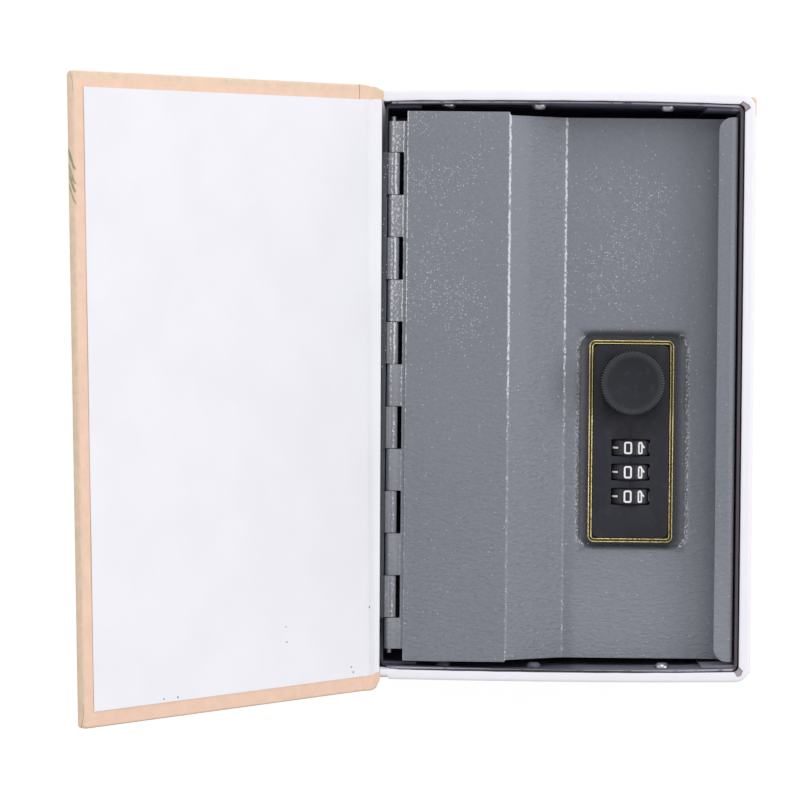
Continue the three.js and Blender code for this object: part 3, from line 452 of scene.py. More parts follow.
@kept
def lining_paper(name):
    """White uncoated paper with a faint cloud, fibres and the specks of dust seen on it."""
    book = settings("book")
    f = Finish(name, book.paper_colour, roughness=0.75, specular=0.25)
    at = f.place("print")
    x, y, _ = f.split(at)
    cloud = f.noise(at, 45, 3, 0.5)
    fibre = f.noise(f.place("print", scale=(1, 0.3, 1)), 1300, 5, 0.65)
    f.base = f.shade(f.span(cloud, 0.35, 0.65), book.paper_colour, 0.975, 1.0)
    f.paint(f.span(fibre, 0.62, 0.75, 0, 0.06), tone(180, 180, 186))
    # A faint warm stain where the paste shows near the head
    stain = f.times(f.band(y, 0.078, 0.004, 0.006), f.band(x, 0.047, 0.003, 0.008))
    f.paint(f.times(stain, f.span(cloud, 0.3, 0.7, 0.0, 0.07)), tone(196, 190, 176))
    # Painted shade along the turn of the paper in the joint, as a soft grey line, and painted shade inside
    # the gutter
    line = f.times(f.band(x, (HINGE.x + 1.6) * MM, 0.0004, 0.0014), f.span(y, 0.05, -0.04, 0.03, 0.14))
    f.paint(line, tone(150, 152, 162))
    shaded_strip = f.band(x, -0.0641, 0.0022, 0.0006)
    f.paint(f.times(shaded_strip, 0.85), tone(70, 66, 72))
    for across, along, size in DUST:
        away = f.apart(at, (across * MM, along * MM, BOARD_DEPTH * MM))
        ragged = f.plus(away, f.times(f.minus(fibre, 0.5), 0.0002))
        f.paint(f.span(ragged, 0.55 * size * MM, size * MM, 0.9, 0.0), tone(30, 28, 32))
    f.relief(fibre, 0.02, 0.5)
    f.relief(cloud, 0.25, 0.35)
    return f.finish(f.span(fibre, 0.3, 0.7, 0.68, 0.82))


@kept
def page_paper(name):
    """White paper round the page block, printed with faint lines like page edges on its outer sides."""
    book = settings("book")
    f = Finish(name, book.page_colour, roughness=0.7, specular=0.25)
    at = f.place()
    z = f.split(at)[2]
    layers = f.noise(f.place(scale=(0.06, 0.06, 9.0)), 330, 3, 0.6)
    fine = f.noise(f.place(scale=(0.25, 0.25, 7.0)), 900, 3, 0.65)
    side = f.span(z, 0.0512, 0.0500)
    f.base = f.shade(f.span(f.noise(at, 120, 3, 0.5), 0.35, 0.65), book.page_colour, 0.985, 1.0)
    line = f.times(f.span(layers, 0.5, 0.66), side)
    f.paint(f.times(line, 0.28), tone(196, 188, 176))
    f.paint(f.times(f.span(fine, 0.52, 0.62), side, 0.22), tone(170, 162, 152))
    fibre = f.noise(at, 1500, 4, 0.6)
    f.relief(fibre, 0.02, 0.5)
    f.relief(f.times(layers, side), 0.12, 0.6)
    return f.finish(f.span(fibre, 0.3, 0.7, 0.62, 0.76))


@kept
def greyboard(name):
    """Bare board: mauve grey pulp with darker fibres and crumbs."""
    book = settings("book")
    f = Finish(name, book.board_colour, roughness=0.95, specular=0.15)
    at = f.place()
    pulp = f.noise(at, 300, 6, 0.7)
    crumb = f.noise(at, 1500, 4, 0.7)
    f.base = f.shade(f.span(pulp, 0.3, 0.7), book.board_colour, 0.72, 1.2)
    f.paint(f.span(crumb, 0.58, 0.7, 0, 0.6), tone(96, 74, 68))
    f.paint(f.span(f.noise(f.place(scale=(1, 0.4, 1)), 900, 3, 0.6), 0.62, 0.7, 0, 0.5), tone(206, 198, 196))
    # Painted shade beside the long walls of the box
    x, y, _ = f.split(at)
    shaded_strip = f.times(f.span(f.size(y), 0.0842, 0.0846), f.span(f.size(x), 0.048, 0.046))
    f.paint(f.times(shaded_strip, 0.75), tone(50, 46, 54))
    # Painted light in the notches of the page block's corners: the bare board there is painted paler
    corner = f.times(f.span(f.size(x), 0.0500, 0.0512), f.span(f.size(y), 0.0828, 0.084))
    f.paint(f.times(corner, 0.75), f.shade(pulp, tone(196, 184, 190), 0.6, 1.15))
    f.relief(crumb, 0.16, 0.8)
    return f.finish(f.span(pulp, 0.3, 0.7, 0.85, 1.0))


@kept
def hammered_paint(name, shade, highlight_lines=(), glint_share=1.0, grain=1.0, rim_highlight=None, dark_below=None,
                   pocket=None):
    """Textured enamel: a leathery grain, painted glints as fine bright grains, and painted highlights along
    the bends of the sheet.
    """
    box = settings("box")
    f = Finish(name, shade, roughness=0.45, specular=0.5)
    at = f.place()
    x, y, z = f.split(at)
    leather = f.noise(f.place(scale=(0.6, 1.3, 1)), 860, 3, 0.55, 0.6)
    orange = f.noise(at, 1250, 3, 0.6)
    rough = f.noise(at, 2600, 3, 0.6)
    tail = f.most(f.span(y, 0.045, -0.06, 0.35, 1.0), f.band(x, -0.0075, 0.003, 0.006))
    f.base = f.shade(f.span(orange, 0.3, 0.7), shade, 0.94, 1.05)
    f.paint(f.span(f.noise(at, 26, 2, 0.5), 0.35, 0.65, 0.0, 0.05), tone(150, 154, 166))
    f.paint(f.times(f.span(leather, 0.5, 0.36), tail, 0.11 * grain), tone(72, 74, 82))
    f.paint(f.span(rough, 0.62, 0.74, 0, 0.14), tone(72, 74, 82))
    # Painted light: lighter towards the tail of the sunk floor and on the returned lip
    lit = f.most(f.times(f.span(x, 0.0, 0.004), f.span(y, -0.03, -0.075, 0, 0.3)),
                 f.span(x, 0.0478, 0.0484, 0, 0.28))
    f.paint(lit, tone(160, 163, 174))
    # Painted glints: one small bright grain in some of the cells, thicker in a cloud towards the head
    left = f.times(f.band(x, -0.04, 0.008, 0.014), f.band(y, 0.05, 0.024, 0.03))
    right = f.times(f.band(x, 0.016, 0.008, 0.012), f.band(y, 0.043, 0.014, 0.014))
    cloud = f.times(f.most(left, right), f.span(f.noise(at, 60, 2, 0.5), 0.36, 0.6, 0.1, 1.0))
    share = f.plus(f.times(cloud, 0.56), 0.03)
    glints = []
    for scale, size, shift in ((1050, 0.13, 0.0), (1650, 0.17, 3.7)):
        cell = f.cells(f.place(move=(shift, 0, shift)), scale)
        pick, level, _ = f.split(cell["Color"])
        dot = f.span(cell["Distance"], size * 0.8, size * 1.7, 1.0, 0.0)
        glints.append(f.times(dot, f.span(f.minus(share, pick), 0.0, 0.01),
                              f.span(level, 0.0, 1.0, 0.5, 1.0)))
    wobble = f.times(f.minus(f.noise(at, 800, 2, 0.5), 0.5), 0.0007)
    # Painted highlights along the bends: a faint light line with bright grains where the noise allows
    for place, width, low, high in highlight_lines:
        line = f.band(f.plus(x, wobble), place * MM, 0.0001, width * MM)
        glint_noise = f.noise(f.place(scale=(1, 0.7, 1), move=(0.3, 0, 0)), 1500, 3, 0.7)
        glint_noise = f.plus(glint_noise, f.span(y, -0.03, 0.03, -0.15, 0.02))
        f.paint(f.times(line, 0.17), tone(186, 188, 196))
        glints.append(f.times(line, f.span(glint_noise, low, high)))
    if rim_highlight is not None:
        # A painted highlight along the top edge of the long walls; on the wall by the fore edge the paint
        # turns dark brown
        reach, top = rim_highlight
        ahead = f.over(f.most(f.minus(x, BOW_MIDDLE * MM), 0.0), BOW_FORE * MM)
        behind = f.over(f.most(f.minus(BOW_MIDDLE * MM, x), 0.0), BOW_SPINE * MM)
        swell = f.minus(1.0, f.plus(f.times(ahead, ahead), f.times(behind, behind)))
        bowed = f.minus(f.size(y), f.times(swell, WALL_BOW * MM))
        line = f.times(f.band(bowed, (reach - 0.36) * MM, 0.2 * MM, 0.12 * MM),
                       f.span(z, (top - 0.3) * MM, (top - 0.1) * MM),
                       f.span(f.noise(at, 200, 4, 0.6), 0.35, 0.5, 0.15, 0.85))
        f.paint(line, tone(196, 192, 204))
        f.paint(f.span(x, 0.0496, 0.0502, 0, 0.7), tone(70, 54, 54))
    if pocket is not None:
        # Painted shade in the lock's pocket, darkest beside the rim and fading out past the pocket's edge,
        # with painted glints along its sides
        middle_x, middle_y, wide, half_x, half_y = (part * MM for part in pocket)
        pressed = f.split(f.place("print"))[2]
        beside = f.most(f.minus(f.size(f.minus(x, middle_x)), half_x),
                        f.minus(f.size(f.minus(y, middle_y)), half_y))
        f.paint(f.span(beside, 0.0002, 0.0042, 0.82, 0.0), tone(42, 44, 53))
        sides = f.span(f.size(f.minus(x, middle_x)), wide * 0.4, wide * 0.44)
        glint_noise = f.noise(f.place(move=(0.7, 0, 0)), 1500, 3, 0.7)
        glints.append(f.times(sides, f.band(pressed, 0.0004, 0.0002, 0.0002), f.span(glint_noise, 0.5, 0.6)))
    if dark_below is not None:
        # Painted shade: a painted shadow line in the gap beside the strip, and the strip below it painted
        # darker
        gap_shadow = f.band(x, (dark_below - 0.15) * MM, 0.1 * MM, 0.12 * MM)
        f.paint(f.times(gap_shadow, 0.85), tone(18, 18, 22))
        f.paint(f.span(x, (dark_below + 0.4) * MM, dark_below * MM, 0, 0.8), tone(44, 45, 52))
    # The painted glints and painted highlights go on last
    f.paint(f.times(f.most(*glints), 0.9 * glint_share), box.glint_colour)
    f.relief(orange, 0.16 * grain, 0.5)
    f.relief(f.times(leather, tail), 0.5 * grain, 0.7)
    return f.finish(f.span(orange, 0.3, 0.7, 0.36, 0.52))


@kept
def bare_metal(name, shade, roughness=0.34):
    """Plated or bare metal with drawn lines and slight tarnish."""
    f = Finish(name, shade, roughness=roughness, metallic=1.0)
    drawn = f.noise(f.place(scale=(1, 0.06, 1)), 2600, 3, 0.6)
    stain = f.noise(f.place(), 230, 4, 0.6)
    f.base = f.shade(f.span(stain, 0.3, 0.7), shade, 0.78, 1.08)
    f.relief(drawn, 0.02, 0.5)
    return f.finish(f.plus(f.span(drawn, 0.3, 0.7, -0.06, 0.08),
                           f.span(stain, 0.35, 0.75, roughness - 0.04, roughness + 0.14)))


def plated_steel():
    return bare_metal("plated steel", tone(196, 198, 204))


@kept
def moulded_plastic(name, shade, roughness=0.5, grain=0.05, groove=None, ring=None):
    """Black moulded plastic with a spark-eroded grain, faint flow and dust in the grain."""
    f = Finish(name, shade, roughness=roughness, specular=0.4)
    at = f.place()
    spark = f.noise(at, 2300, 4, 0.65)
    flow = f.noise(at, 75, 3, 0.5)
    f.base = f.shade(f.span(flow, 0.3, 0.7), shade, 0.88, 1.14)
    f.paint(f.span(spark, 0.62, 0.74, 0, 0.1), tone(120, 122, 130))
    f.paint(f.span(f.noise(at, 330, 5, 0.65), 0.52, 0.72, 0, 0.08), tone(110, 114, 128))
    f.relief(spark, grain, 0.6)
    if ring is not None:
        # The knob's rim is painted a little paler than its dished top, with painted shade between its teeth
        # and painted highlights on their tips
        middle_x, middle_y, radius = (part * MM for part in ring)
        x, y, _ = f.split(at)
        away = f.apart(f.add("CombineXYZ", {0: x, 1: y, 2: 0.0}).outputs[0], (middle_x, middle_y, 0.0))
        rim = f.times(f.span(away, radius - 0.0026, radius - 0.0012),
                      f.span(away, radius - 0.0002, radius - 0.0006))
        f.paint(f.times(rim, 0.12), tone(112, 114, 122))
        angle = f.math("ARCTAN2", f.minus(y, middle_y), f.minus(x, middle_x))
        tooth = f.math("COSINE", f.times(angle, float(settings("lock").knurls)))
        outer = f.span(away, radius - 0.0011, radius - 0.0007)
        f.paint(f.times(f.span(tooth, 0.3, -0.5), outer, 0.85), tone(8, 8, 10))
        f.paint(f.times(f.span(tooth, 0.3, 0.9), outer, 0.3), tone(120, 122, 130))
    if groove is not None:
        middle, low, high = groove
        x, y, _ = f.split(at)
        # Painted shade in the index groove; the plate is painted darker towards its head end too
        line = f.times(f.band(x, middle * MM, 8e-05, 0.0001), f.span(y, (low - 0.2) * MM, low * MM),
                       f.span(y, high * MM, (high - 0.2) * MM))
        f.paint(f.times(line, 0.8), tone(12, 12, 14))
        f.paint(f.span(y, (high - 6) * MM, (high + 12) * MM, 0, 0.45), tone(14, 14, 18))
        f.relief(f.times(line, -1.0), 0.12, 1.0)
    return f.finish(f.span(flow, 0.3, 0.7, roughness - 0.06, roughness + 0.08))


@kept
def gold_plate(name):
    """Bright gold plating with painted shade in the groove between its two beads, tiny pits and a brown film
    in places.
    """
    lock = settings("lock")
    f = Finish(name, lock.gold_colour, roughness=0.16, metallic=1.0)
    at = f.place()
    pit = f.noise(at, 1900, 4, 0.7)
    film = f.noise(at, 160, 3, 0.6)
    inset = f.split(f.place("print"))[0]
    width = lock.rim_width * MM
    groove = f.band(inset, 0.5 * width, 0.1 * width, 0.12 * width)
    f.base = f.shade(f.span(film, 0.3, 0.7), lock.gold_colour, 0.86, 1.08)
    f.paint(f.span(pit, 0.58, 0.7, 0, 0.45), tone(126, 96, 42))
    # Painted shade on the tail half, laid on in brown patches
    darkened = f.times(f.span(f.split(at)[1], 0.0, -0.03, 0.0, 1.0), f.span(pit, 0.46, 0.6, 0.0, 0.6))
    f.paint(darkened, tone(120, 92, 44))
    # Painted shade in the groove between the beads
    f.paint(f.times(groove, 0.9), tone(44, 36, 22))
    f.relief(pit, 0.015, 0.4)
    return f.finish(f.span(pit, 0.3, 0.7, 0.2, 0.34))


@kept
def number_paint(name):
    """White printed numbers, thin enough to show the grain beneath."""
    lock = settings("lock")
    f = Finish(name, lock.number_colour, roughness=0.45)
    at = f.place()
    grain = f.noise(at, 1800, 3, 0.6)
    f.base = f.shade(f.span(grain, 0.3, 0.7), lock.number_colour, 0.9, 1.0)
    f.relief(grain, 0.01, 0.4)
    return f.finish(f.span(grain, 0.3, 0.7, 0.4, 0.55))


@kept
def floor_paper(name):
    """Pale floor that reads as white to the camera and keeps the object's shadow."""
    stage = settings("stage")
    f = Finish(name, stage.floor_colour, roughness=0.9, specular=0.1)
    at = f.place()
    f.put(f.shader, {"Base Color": f.shade(f.noise(at, 7, 3, 0.5), stage.floor_colour, 0.985, 1.0)})
    rays = f.add("LightPath").outputs
    seen = f.most(rays["Is Camera Ray"], rays["Is Glossy Ray"], rays["Is Transmission Ray"])
    white = f.add("Emission", {"Color": (1, 1, 1, 1), "Strength": 1.04}).outputs[0]
    share = f.times(seen, 1.0 - stage.shadow_share)
    mixed = f.add("MixShader", {0: share, 1: f.shader.outputs[0], 2: white}).outputs[0]
    f.put(f.tree.nodes["Material Output"], {"Surface": mixed})
    return f.material


# ---------------------------------------------------------------- meshes

def set_shading(bm, angle):
    """Smooth faces, with the edges sharper than the angle kept crisp."""
    limit = math.radians(angle)
    for face in bm.faces:
        face.smooth = True
    for edge in bm.edges:
        if len(edge.link_faces) == 2:
            edge.smooth = edge.calc_face_angle(0.0) < limit


def piece(name, bm, material, body=None, stands_for=(), across_joint=None, sharp=35):
    """Turns a bmesh drawn in millimetres into a finished piece at the origin."""
    bmesh.ops.scale(bm, vec=(MM, MM, MM), verts=bm.verts)
    set_shading(bm, sharp)
    mesh = bpy.data.meshes.new(name)
    bm.to_mesh(mesh)
    bm.free()
    mesh.materials.append(material)
    obj = bpy.data.objects.new(name, mesh)
    bpy.context.scene.collection.objects.link(obj)
    if stands_for:
        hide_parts(*stands_for)
    if across_joint:
        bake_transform(obj)
    else:
        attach(obj, body)
    return obj


def sheet_of(columns, rows, place, closed=False, unrolled=None):
    """A grid whose corners are put where place(column, row) says, in millimetres."""
    bm = bmesh.new()
    layer = bm.verts.layers.float_vector.new("print") if unrolled else None
    made = bmesh.ops.create_grid(bm, x_segments=len(columns) - 1, y_segments=len(rows) - 1, size=1.0)
    for vert in made["verts"]:
        i = round((vert.co.x + 1) / 2 * (len(columns) - 1))
        j = round((vert.co.y + 1) / 2 * (len(rows) - 1))
        vert.co = place(columns[i], rows[j])
        if unrolled:
            vert[layer] = Vector(unrolled(columns[i], rows[j])) * MM
    if closed:
        bmesh.ops.remove_doubles(bm, verts=bm.verts, dist=1e-4)
    return bm


def outward(bm, probe):
    """Turns the faces so that the one nearest the probe's point looks in the probe's direction."""
    bmesh.ops.recalc_face_normals(bm, faces=bm.faces)
    point, direction = Vector(probe[0]), Vector(probe[1])
    nearest = min(bm.faces, key=lambda face: (face.calc_center_median() - point).length)
    if nearest.normal.dot(direction) < 0:
        bmesh.ops.reverse_faces(bm, faces=bm.faces)


def joined(bm, *parts):
    """Adds the other forms to the first one."""
    mesh = bpy.data.meshes.new("parts")
    for part in parts:
        part.to_mesh(mesh)
        part.free()
        bm.from_mesh(mesh)
    bpy.data.meshes.remove(mesh)
    return bm


def baked(bm, kind, **options):
    """Applies one modifier to the form, which stays in millimetres."""
    mesh = bpy.data.meshes.new("form")
    bm.to_mesh(mesh)
    obj = bpy.data.objects.new("form", mesh)
    bpy.context.scene.collection.objects.link(obj)
    modifier = obj.modifiers.new("Form", kind)
    for key, value in options.items():
        setattr(modifier, key, value)
    bpy.context.view_layer.update()
    result = bpy.data.meshes.new_from_object(obj.evaluated_get(bpy.context.evaluated_depsgraph_get()))
    bm.clear()
    bm.from_mesh(result)
    bpy.data.objects.remove(obj)
    for used in (mesh, result):
        bpy.data.meshes.remove(used)
    return bm


def thicken(bm, thickness, probe, even=False):
    """Gives an open sheet its thickness on the side away from the probe's direction."""
    outward(bm, probe)
    baked(bm, "SOLIDIFY", thickness=thickness, offset=-1.0, use_even_offset=even)
    bmesh.ops.recalc_face_normals(bm, faces=bm.faces)
    return bm


def round_edges(bm, width, segments=2, angle=40, where=None):
    """Bevels the sharp edges."""
    limit = math.radians(angle)
    edges = [edge for edge in bm.edges if len(edge.link_faces) == 2 and edge.calc_face_angle(0.0) > limit
             and (where is None or where(edge))]
    bmesh.ops.bevel(bm, geom=edges, offset=width, offset_type="OFFSET", segments=segments, profile=0.5,
                    affect="EDGES", clamp_overlap=True, material=-1)
    return bm


def stretch(edge):
    """How far an edge reaches in x, y and z."""
    return Vector(abs(part) for part in edge.verts[0].co - edge.verts[1].co)


def store_print(bm, rule):
    """Keeps each corner's place on the unrolled case, in metres, for the pattern to follow."""
    layer = bm.verts.layers.float_vector.get("print") or bm.verts.layers.float_vector.new("print")
    for vert in bm.verts:
        vert[layer] = Vector(rule(vert.co)) * MM
    return bm


def merged_copy(node, width=0.15):
    """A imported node's mesh, its loose triangles merged to faces and its sharp edges rounded."""
    bm = bmesh.new()
    bm.from_mesh(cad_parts[node].data)
    bmesh.ops.scale(bm, vec=(1 / MM,) * 3, verts=bm.verts)
    bmesh.ops.remove_doubles(bm, verts=bm.verts, dist=1e-3)
    bmesh.ops.dissolve_limit(bm, angle_limit=math.radians(1), verts=bm.verts, edges=bm.edges)
    if width:
        round_edges(bm, width)
    return bm


def filleted(points, radius, steps=5):
    """A path with each inner corner rounded, by one radius or by its own."""
    at = [Vector(point) for point in points]
    radii = radius if isinstance(radius, list) else [radius] * len(points)
    path = [at[0]]
    for before, here, after, radius in zip(at, at[1:], at[2:], radii):
        one, two = (before - here).normalized(), (after - here).normalized()
        half = one.angle(two) / 2
        reach = min(radius / math.tan(half), 0.49 * (before - here).length, 0.49 * (after - here).length)
        first, last = here + one * reach, here + two * reach
        for i in range(steps + 1):
            t = i / steps
            path.append(first * (1 - t) ** 2 + here * 2 * t * (1 - t) + last * t ** 2)
    return path + [at[-1]]


def turned(profile, steps, centre=(0, 0, 0), turn=None):
    """A closed turned form from (radius, height) stops, spun round Z through the centre."""
    bm = bmesh.new()
    verts = [bm.verts.new((radius, 0, height)) for radius, height in profile]
    edges = [bm.edges.new(pair) for pair in zip(verts, verts[1:])]
    bmesh.ops.spin(bm, geom=verts + edges, cent=(0, 0, 0), axis=(0, 0, 1), angle=2 * math.pi, steps=steps,
                   use_merge=True, use_duplicate=False)
    bmesh.ops.remove_doubles(bm, verts=bm.verts, dist=1e-4)
    bmesh.ops.recalc_face_normals(bm, faces=bm.faces)
    if turn is not None:
        bmesh.ops.transform(bm, matrix=turn, verts=bm.verts)
    bmesh.ops.translate(bm, vec=centre, verts=bm.verts)
    return bm


def rounded_ring(cx, cy, width, length, radius, inset):
    """Points round a rounded rectangle, inset by a distance, counterclockwise."""
    corner, corner_steps = max(radius - inset, 0.05), 6
    points = []
    for sx, sy, start in ((1, -1, -90), (1, 1, 0), (-1, 1, 90), (-1, -1, 180)):
        middle = (cx + sx * (width / 2 - inset - corner), cy + sy * (length / 2 - inset - corner))
        for i in range(corner_steps + 1):
            angle = math.radians(start + 90 * i / corner_steps)
            points.append((middle[0] + corner * math.cos(angle), middle[1] + corner * math.sin(angle)))
    return points


# ---------------------------------------------------------------- pieces of the book case

def wrapped_board(reach_in, reach_out, depth, open_sides, book):
    """Paper round a board, drawn from its open side (reach_in) to its edge, outer face at depth 0."""
    bm = bmesh.new()
    centre = Vector(((reach_in + reach_out) / 2, 0, depth / 2))
    size = (reach_out - reach_in, 2 * HALF_LENGTH, depth)
    bmesh.ops.create_cube(bm, size=1.0, matrix=Matrix.Translation(centre) @ Matrix.Diagonal((*size, 1)))
    opened = [face for face in bm.faces if any(face.normal.dot(Vector(side)) > 0.9 for side in open_sides)]
    bmesh.ops.delete(bm, geom=opened, context="FACES")
    round_edges(bm, book.corner_rounding, 5, where=lambda edge: stretch(edge).z > 1)
    round_edges(bm, book.edge_rounding, 4)

    def inner_faces():
        return [face for face in bm.faces
                if face.normal.z > 0.9 and face.calc_center_median().z > depth - 0.01]

    # The inner side keeps only its turn-ins
    far, side = reach_out - book.turn_in, HALF_LENGTH - book.turn_in
    cuts = [((0, -side, 0), (0, 1, 0)), ((0, side, 0), (0, 1, 0))]
    if (1, 0, 0) in open_sides:
        far = math.inf
    else:
        cuts.append(((far, 0, 0), (1, 0, 0)))
    for point, normal in cuts:
        inner = inner_faces()
        geometry = set(inner)
        for face in inner:
            geometry.update(face.edges)
            geometry.update(face.verts)
        bmesh.ops.bisect_plane(bm, geom=list(geometry), plane_co=point, plane_no=normal)
    window = [face for face in inner_faces() if abs(face.calc_center_median().y) < side
              and face.calc_center_median().x < far]
    bmesh.ops.delete(bm, geom=window, context="FACES")
    return thicken(bm, book.wrap_thickness, ((centre.x, 0, 0), (0, 0, -1)))


def front_cover(book):
    """Printed paper of the front cover, drawn on the closed book and then opened."""
    bm = wrapped_board(BOARD_START, HALF_WIDTH, BOARD_DEPTH, [(-1, 0, 0)], book)
    store_print(bm, lambda co: co)
    flip = Matrix.Translation((0, 0, THICKNESS)) @ Matrix.Diagonal((1, 1, -1, 1))
    bmesh.ops.transform(bm, matrix=OPEN @ flip, verts=bm.verts)
    bmesh.ops.reverse_faces(bm, faces=bm.faces)
    piece("front_cover_paper", bm, printed_paper("printed paper"), "front_cover",
          ["front_cover_wrap"])


def lean_offset(along, across):
    """How far the hinge line stands aside from the book's own line, fading out across the cover."""
    return -math.tan(ASKEW) * along * (1 - smooth(across / 25))


# Stops of the inner paper: up the gutter, over the bulge beside the spine, a bridge, then over the cover
GUTTER = [(-57.52, 21.5), (-57.52, 34.0), (-57.52, 45.0), (-57.5, 48.6), (-57.42, 50.0)]
BULGE = [(-0.35, 50.7), (-0.1, 51.0), (0.0, 51.35), (-0.15, 51.85)]
BRIDGE = 2
ON_BOOK = len(BULGE) + BRIDGE
ACROSS = [0.7, 1.2, 1.7, 2.3, 3.0, 3.8, 4.6, 5.4]
# Where the bulge stands across the book: at the head, how much further at the tail, and at its folded ends
LEAN_HEAD = -56.85
LEAN_MORE = 0.8
END_HEAD = -56.15
END_TAIL = -55.6


def cover_spot(across, along, book, sink=0.0):
    """A place on the inner paper of the cover, at rest."""
    dip = book.crease_depth * math.exp(-((across - 1.9) / 1.1) ** 2)
    wave = 0.03 * math.sin(along * 0.11) * smooth(across / 20)
    return OPEN @ Vector((HINGE.x + across + lean_offset(along, across), along,
                          COVER_INNER - 0.3 + dip + sink - wave))


def inner_spot(column, along, book, sink=0.0, at_end=False):
    """A stop of the inner paper at rest. It leans over the gutter, more so towards the tail."""
    share = min(max((86 - along) / 172, 0.0), 1.0)
    reach = LEAN_HEAD + LEAN_MORE * share
    if at_end:
        reach = END_HEAD if along > 0 else END_TAIL
    over = 0.6 * smooth((reach + 56.9) / 0.5)
    bulge = [Vector((reach + x - sink, along, z + over - sink)) for x, z in BULGE]
    if column < len(GUTTER):
        x, z = GUTTER[column]
        return Vector((x - sink, along, z))
    column -= len(GUTTER)
    if column < len(BULGE):
        return bulge[column]
    column -= len(BULGE)
    if column < BRIDGE:
        far = cover_spot(ACROSS[0], along + COVER_TAIL_SHIFT, book, sink)
        return bulge[-1].lerp(far, (column + 1) / (BRIDGE + 1)) + Vector((0.07, 0, 0.1))
    return cover_spot(ACROSS[column - BRIDGE], along, book, sink)


# The paper sleeve of the joint: for each stop from the bulge on, where its outer face runs, as (x, z) of the
# book or (across, above) of the closed cover, and where its head and tail ends lie
SLEEVE = [((-60.05, 50.5), 87.7, -86.6), ((-60.08, 50.7), 87.7, -86.8), ((-60.15, 50.88), 87.75, -87.3),
          ((-60.25, 51.03), 88.0, -88.3), ((-60.38, 51.15), 88.6, -89.5), ((-60.54, 51.25), 89.2, -90.8),
          ((0.9, 2.2), 90.0, -90.3), ((1.4, 2.05), 90.15, -90.55), ((1.9, 1.95), 90.25, -90.6),
          ((2.4, 1.95), 90.3, -90.6), ((3.1, 2.15), 90.4, -90.55), ((3.9, 2.55), 90.42, -90.5),
          ((4.7, 2.7), 90.44, -90.46), ((5.5, 2.7), 90.44, -90.44)]


def joint_paper(book):
    """Printed paper of the front joint: its outer side, its end folds and the turn-ins under the lining."""
    turned_in = [book.turn_in, 9.0, 4.0, 1.2, 0.0]
    rows = [("inner", 1, depth) for depth in turned_in] + [("fold", 1, 0.0)]
    rows += [("outer", 0, share) for share in reversed(between(0.0, 1.0, 1 / 50))]
    rows += [("fold", -1, 0.0)] + [("inner", -1, depth) for depth in reversed(turned_in)]

    def inner(column, side, depth):
        head, tail = SLEEVE[column][1:]
        along = (head - depth) if side > 0 else (tail + depth)
        sink = 0.2 if column < len(SLEEVE) - 1 else 0.28
        return inner_spot(column + len(GUTTER), along, book, sink, at_end=depth < 2)

    def outer(column, share):
        (first, second), head, tail = SLEEVE[column]
        along = tail + (head - tail) * share
        if column < ON_BOOK:
            drawn = book.spine_pull * smooth((share - 0.9) / 0.1) * (1 - column / ON_BOOK)
            return Vector((first, along + (2.8 - 0.56 * column) * (2 * share - 1) - drawn, second))
        return OPEN @ Vector((HINGE.x + first + lean_offset(along, first), along, HINGE.z + second))

    def place(column, row):
        kind, side, value = row
        if kind == "inner":
            return inner(column, side, value)
        if kind == "outer":
            return outer(column, value)
        middle = (inner(column, side, 0.0) + outer(column, (side + 1) / 2)) / 2
        return middle + Vector((0, 0.12 * side, 0))

    def unrolled(column, row):
        kind, side, value = row
        across = HINGE.x + (ACROSS[column - ON_BOOK] if column >= ON_BOOK else column / 10)
        if kind == "outer":
            return (-HALF_WIDTH - 0.4, (2 * value - 1) * HALF_LENGTH, 0.0)
        depth = BOARD_DEPTH if kind == "inner" else BOARD_DEPTH / 2
        return (across, side * (HALF_LENGTH - value), depth)

    bm = sheet_of(range(len(SLEEVE)), rows, place, unrolled=unrolled)
    return thicken(bm, PAPER, ((-62, 0, 52), (-1, 0, -0.4)))


def draw_in(bm, book):
    """Draws the spine's head end in towards its top, where the open cover pulls on it."""
    for vert in bm.verts:
        vert.co.y -= book.spine_pull * smooth((vert.co.z - 35) / 16) * smooth((vert.co.y - 66) / 24)
    return bm


def back_case(book):
    """Spine, back board and the joint between them, as one paper."""
    back = wrapped_board(BOARD_START, BACK_RIGHT, BOARD_DEPTH, [(-1, 0, 0)], book)
    store_print(back, lambda co: (BACK_PRINT - co.x, co.y, co.z))
    spine_depth = SPINE_INNER + HALF_WIDTH
    spine = wrapped_board(3.0, SPINE_TOP, spine_depth, [(-1, 0, 0), (1, 0, 0)], book)
    store_print(spine, lambda co: (SPINE_PRINT + co.x, co.y, co.z))
    upright = Matrix(((0, 0, 1, -HALF_WIDTH), (0, 1, 0, 0), (1, 0, 0, 0), (0, 0, 0, 1)))
    bmesh.ops.transform(spine, matrix=upright, verts=spine.verts)
    bmesh.ops.recalc_face_normals(spine, faces=spine.faces)
    draw_in(spine, book)
    # The groove of the back joint runs from the spine's foot to the back board
    path = filleted([(-60.1, 0, 4.2), (-60.12, 0, 1.6), (-59.3, 0, 0.3), (-57.9, 0, 0.25), (-56.4, 0, 1.1),
                     (-55.0, 0, 0.9), (-54.2, 0, 0.1), (-52.8, 0, 0.08)], 1.2, 4)
    groove = sheet_of(range(len(path)), between(-HALF_LENGTH + 0.05, HALF_LENGTH - 0.05, 12.0),
                      lambda column, along: Vector((path[column].x, along, path[column].z)))
    thicken(groove, 0.4, ((-60, 0, 3), (-1, 0, 0)))
    store_print(groove, lambda co: (SPINE_PRINT, co.y, 0.0))
    piece("back_case_paper", joined(back, spine, groove), printed_paper("printed paper"),
          "book", ["case_wrap"])
    board = draw_in(merged_copy("spine_board", 0.2), book)
    piece("spine_board_sheet", board, greyboard("bare greyboard"), "book", ["spine_board"])
    white = merged_copy("back_endpaper", 0.05)
    store_print(white, lambda co: (co.x - 4 * HALF_WIDTH, co.y, BOARD_DEPTH))
    piece("back_lining_paper", white, lining_paper("white lining paper"), "book",
          ["back_endpaper"])


